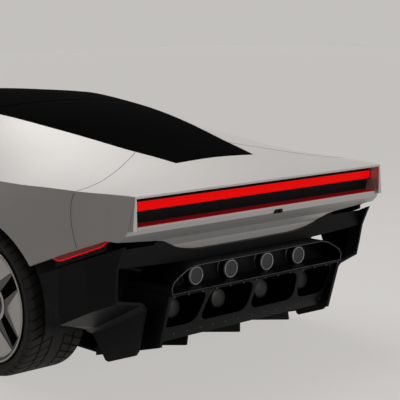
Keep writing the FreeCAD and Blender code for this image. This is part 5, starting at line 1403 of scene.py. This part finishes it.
# %% Luggage well
WELL_MIDDLE, WELL_SIZE = Vector((1.480, 0, 0.389)), Vector((0.528, 0.588, 0.262))
SHELF_LOW, SHELF_HIGH = 0.5135, 0.5185
bm = bmesh.new()
made = bmesh.ops.create_cube(bm, size=1)["verts"]
bmesh.ops.scale(bm, vec=WELL_SIZE, verts=made)
bmesh.ops.translate(bm, vec=WELL_MIDDLE, verts=made)
bmesh.ops.delete(bm, geom=[f for f in bm.faces if f.normal.z > 0.9], context="FACES_ONLY")
bmesh.ops.bevel(bm, geom=[e for e in bm.edges if len(e.link_faces) == 2], offset=0.02, segments=3, affect="EDGES",
                profile=0.5, material=-1)
bmesh.ops.recalc_face_normals(bm, faces=bm.faces)
bmesh.ops.solidify(bm, geom=bm.faces[:], thickness=0.003)
finish_piece("luggage_well", bm, felt)
bm = bmesh.new()
for side in SIDES:
    slab(bm, (1.185, side * 0.4215 - 0.1315, SHELF_LOW), (1.850, side * 0.4215 + 0.1315, SHELF_HIGH), 0.002)
    slab(bm, (1.640, side * 0.600 - 0.060, SHELF_LOW), (1.850, side * 0.600 + 0.060, SHELF_HIGH), 0.002)
slab(bm, (1.739, -0.292, SHELF_LOW), (1.850, 0.292, SHELF_HIGH), 0.002)
slab(bm, (1.185, -0.292, SHELF_LOW), (1.221, 0.292, SHELF_HIGH), 0.002)
finish_piece("luggage_surround", bm, felt)
print("luggage well, litres", round(1000 * WELL_SIZE.x * WELL_SIZE.y * WELL_SIZE.z))

# %% [markdown]
# The underside is a flat carbon floor. Rows of pan-head screws hold it, each laid on it by a ray from below, and it
# has three pairs of shallow raised covers.

# %% Underfloor details
floor_skin = surface_of("underfloor")
bm = bmesh.new()
screws = 0
for x in [-1.60 + 0.30 * k for k in range(13)]:
    for y in (-0.72, -0.48, -0.16, 0.16, 0.48, 0.72):
        place = laid_on(floor_skin, (x, y, -0.5), UP)
        if place is not None and place.z > 0.09:
            turned(bm, [(0, 0.001), (0.008, 0.001), (0.0075, -0.002), (0.004, -0.003), (0, -0.003)], place, UP, 10)
            screws += 1
finish_piece("floor_screws", bm, dark_steel)
bm = bmesh.new()
for x0, x1 in ((-0.60, -0.20), (0.10, 0.50), (1.50, 1.80)):
    for side in SIDES:
        slab(bm, (x0, side * 0.32 - 0.10, 0.0975), (x1, side * 0.32 + 0.10, 0.1010), 0.0015)
        slab(bm, (x0 + 0.05, side * 0.32 - 0.05, 0.0960), (x1 - 0.05, side * 0.32 + 0.05, 0.0985), 0.0012)
finish_piece("floor_covers", bm, black_plastic)
print("floor screws", screws)

# %% [markdown]
# The car stands on a pale, dull floor under an even sky. More light would make both pale, but it would wash out the
# car. Instead, they are bright only for rays that see them directly, in a reflection or through glass. For soft
# light they stay dim, and the floor still shows the car's shadow.

# %% Floor and sky
PALE, FLOOR_HALF = "#EDEAE7", 60
floor_mesh = bpy.data.meshes.new("floor")
floor = bpy.data.objects.new("floor", floor_mesh)
bpy.context.scene.collection.objects.link(floor)
bm = bmesh.new()
bmesh.ops.create_grid(bm, x_segments=2, y_segments=2, size=FLOOR_HALF)
bm.to_mesh(floor_mesh)
bm.free()


def seen_directly(tree, low, high):
    """A strength that is high for rays from the camera, from gloss and through glass, and low for soft light."""
    seen = add_node(tree, "ShaderNodeLightPath")
    either = add_node(tree, "ShaderNodeMath", {0: seen.outputs["Is Camera Ray"], 1: seen.outputs["Is Glossy Ray"]},
                      operation="MAXIMUM")
    either = add_node(tree, "ShaderNodeMath", {0: either.outputs[0], 1: seen.outputs["Is Transmission Ray"]},
                      operation="MAXIMUM")
    return add_node(tree, "ShaderNodeMapRange", {"Value": either.outputs[0], "To Min": low,
                                                 "To Max": high}).outputs["Result"]


# Painted floor: pale and quite dull, so that no second car shines in it. Its gloss varies over 500 mm.
floor_paint, tree, body = new_material("pale studio floor", "#737270", Roughness=0.8, Specular_IOR_Level=0.1)
mottled(tree, body, 0.5, 0.7, 0.9)
body.inputs["Emission Color"].default_value = linear(PALE)
tree.links.new(seen_directly(tree, 0.0, 0.6), body.inputs["Emission Strength"])
floor_mesh.materials.append(floor_paint)

world = bpy.data.worlds.new("studio")
bpy.context.scene.world = world
world.use_nodes = True
tree = world.node_tree
sky = tree.nodes["Background"]
sky.inputs["Color"].default_value = linear(PALE)
tree.links.new(seen_directly(tree, 0.06, 0.64), sky.inputs["Strength"])
print("floor, metres wide", 2 * FLOOR_HALF)

# %% [markdown]
# Two lamps are enough. A wide disc high above gives the bright haunch and the soft shadow, as a studio's light box
# does, and a smaller one behind the car fills the tail. Small lamps would be cheaper in light, but they would show
# as hard dots in the paint.

# %% Lamps


def soft_lamp(name, place, target, size, watts):
    """A round lamp of a size in metres that shines from its place towards a target."""
    data = bpy.data.lights.new(name, "AREA")
    data.shape = "DISK"
    data.size = size
    data.energy = watts
    lamp = bpy.data.objects.new(name, data)
    bpy.context.scene.collection.objects.link(lamp)
    lamp.location = place
    lamp.rotation_euler = (Vector(target) - Vector(place)).to_track_quat("-Z", "Y").to_euler()


soft_lamp("key", (0.3, -0.4, 5.4), (-0.7, 0, 0.6), 4.5, 190)
soft_lamp("fill", (-7.5, -0.8, 2.0), (-1.6, 0, 0.6), 2.5, 100)
print("lamps", len(bpy.data.lights))
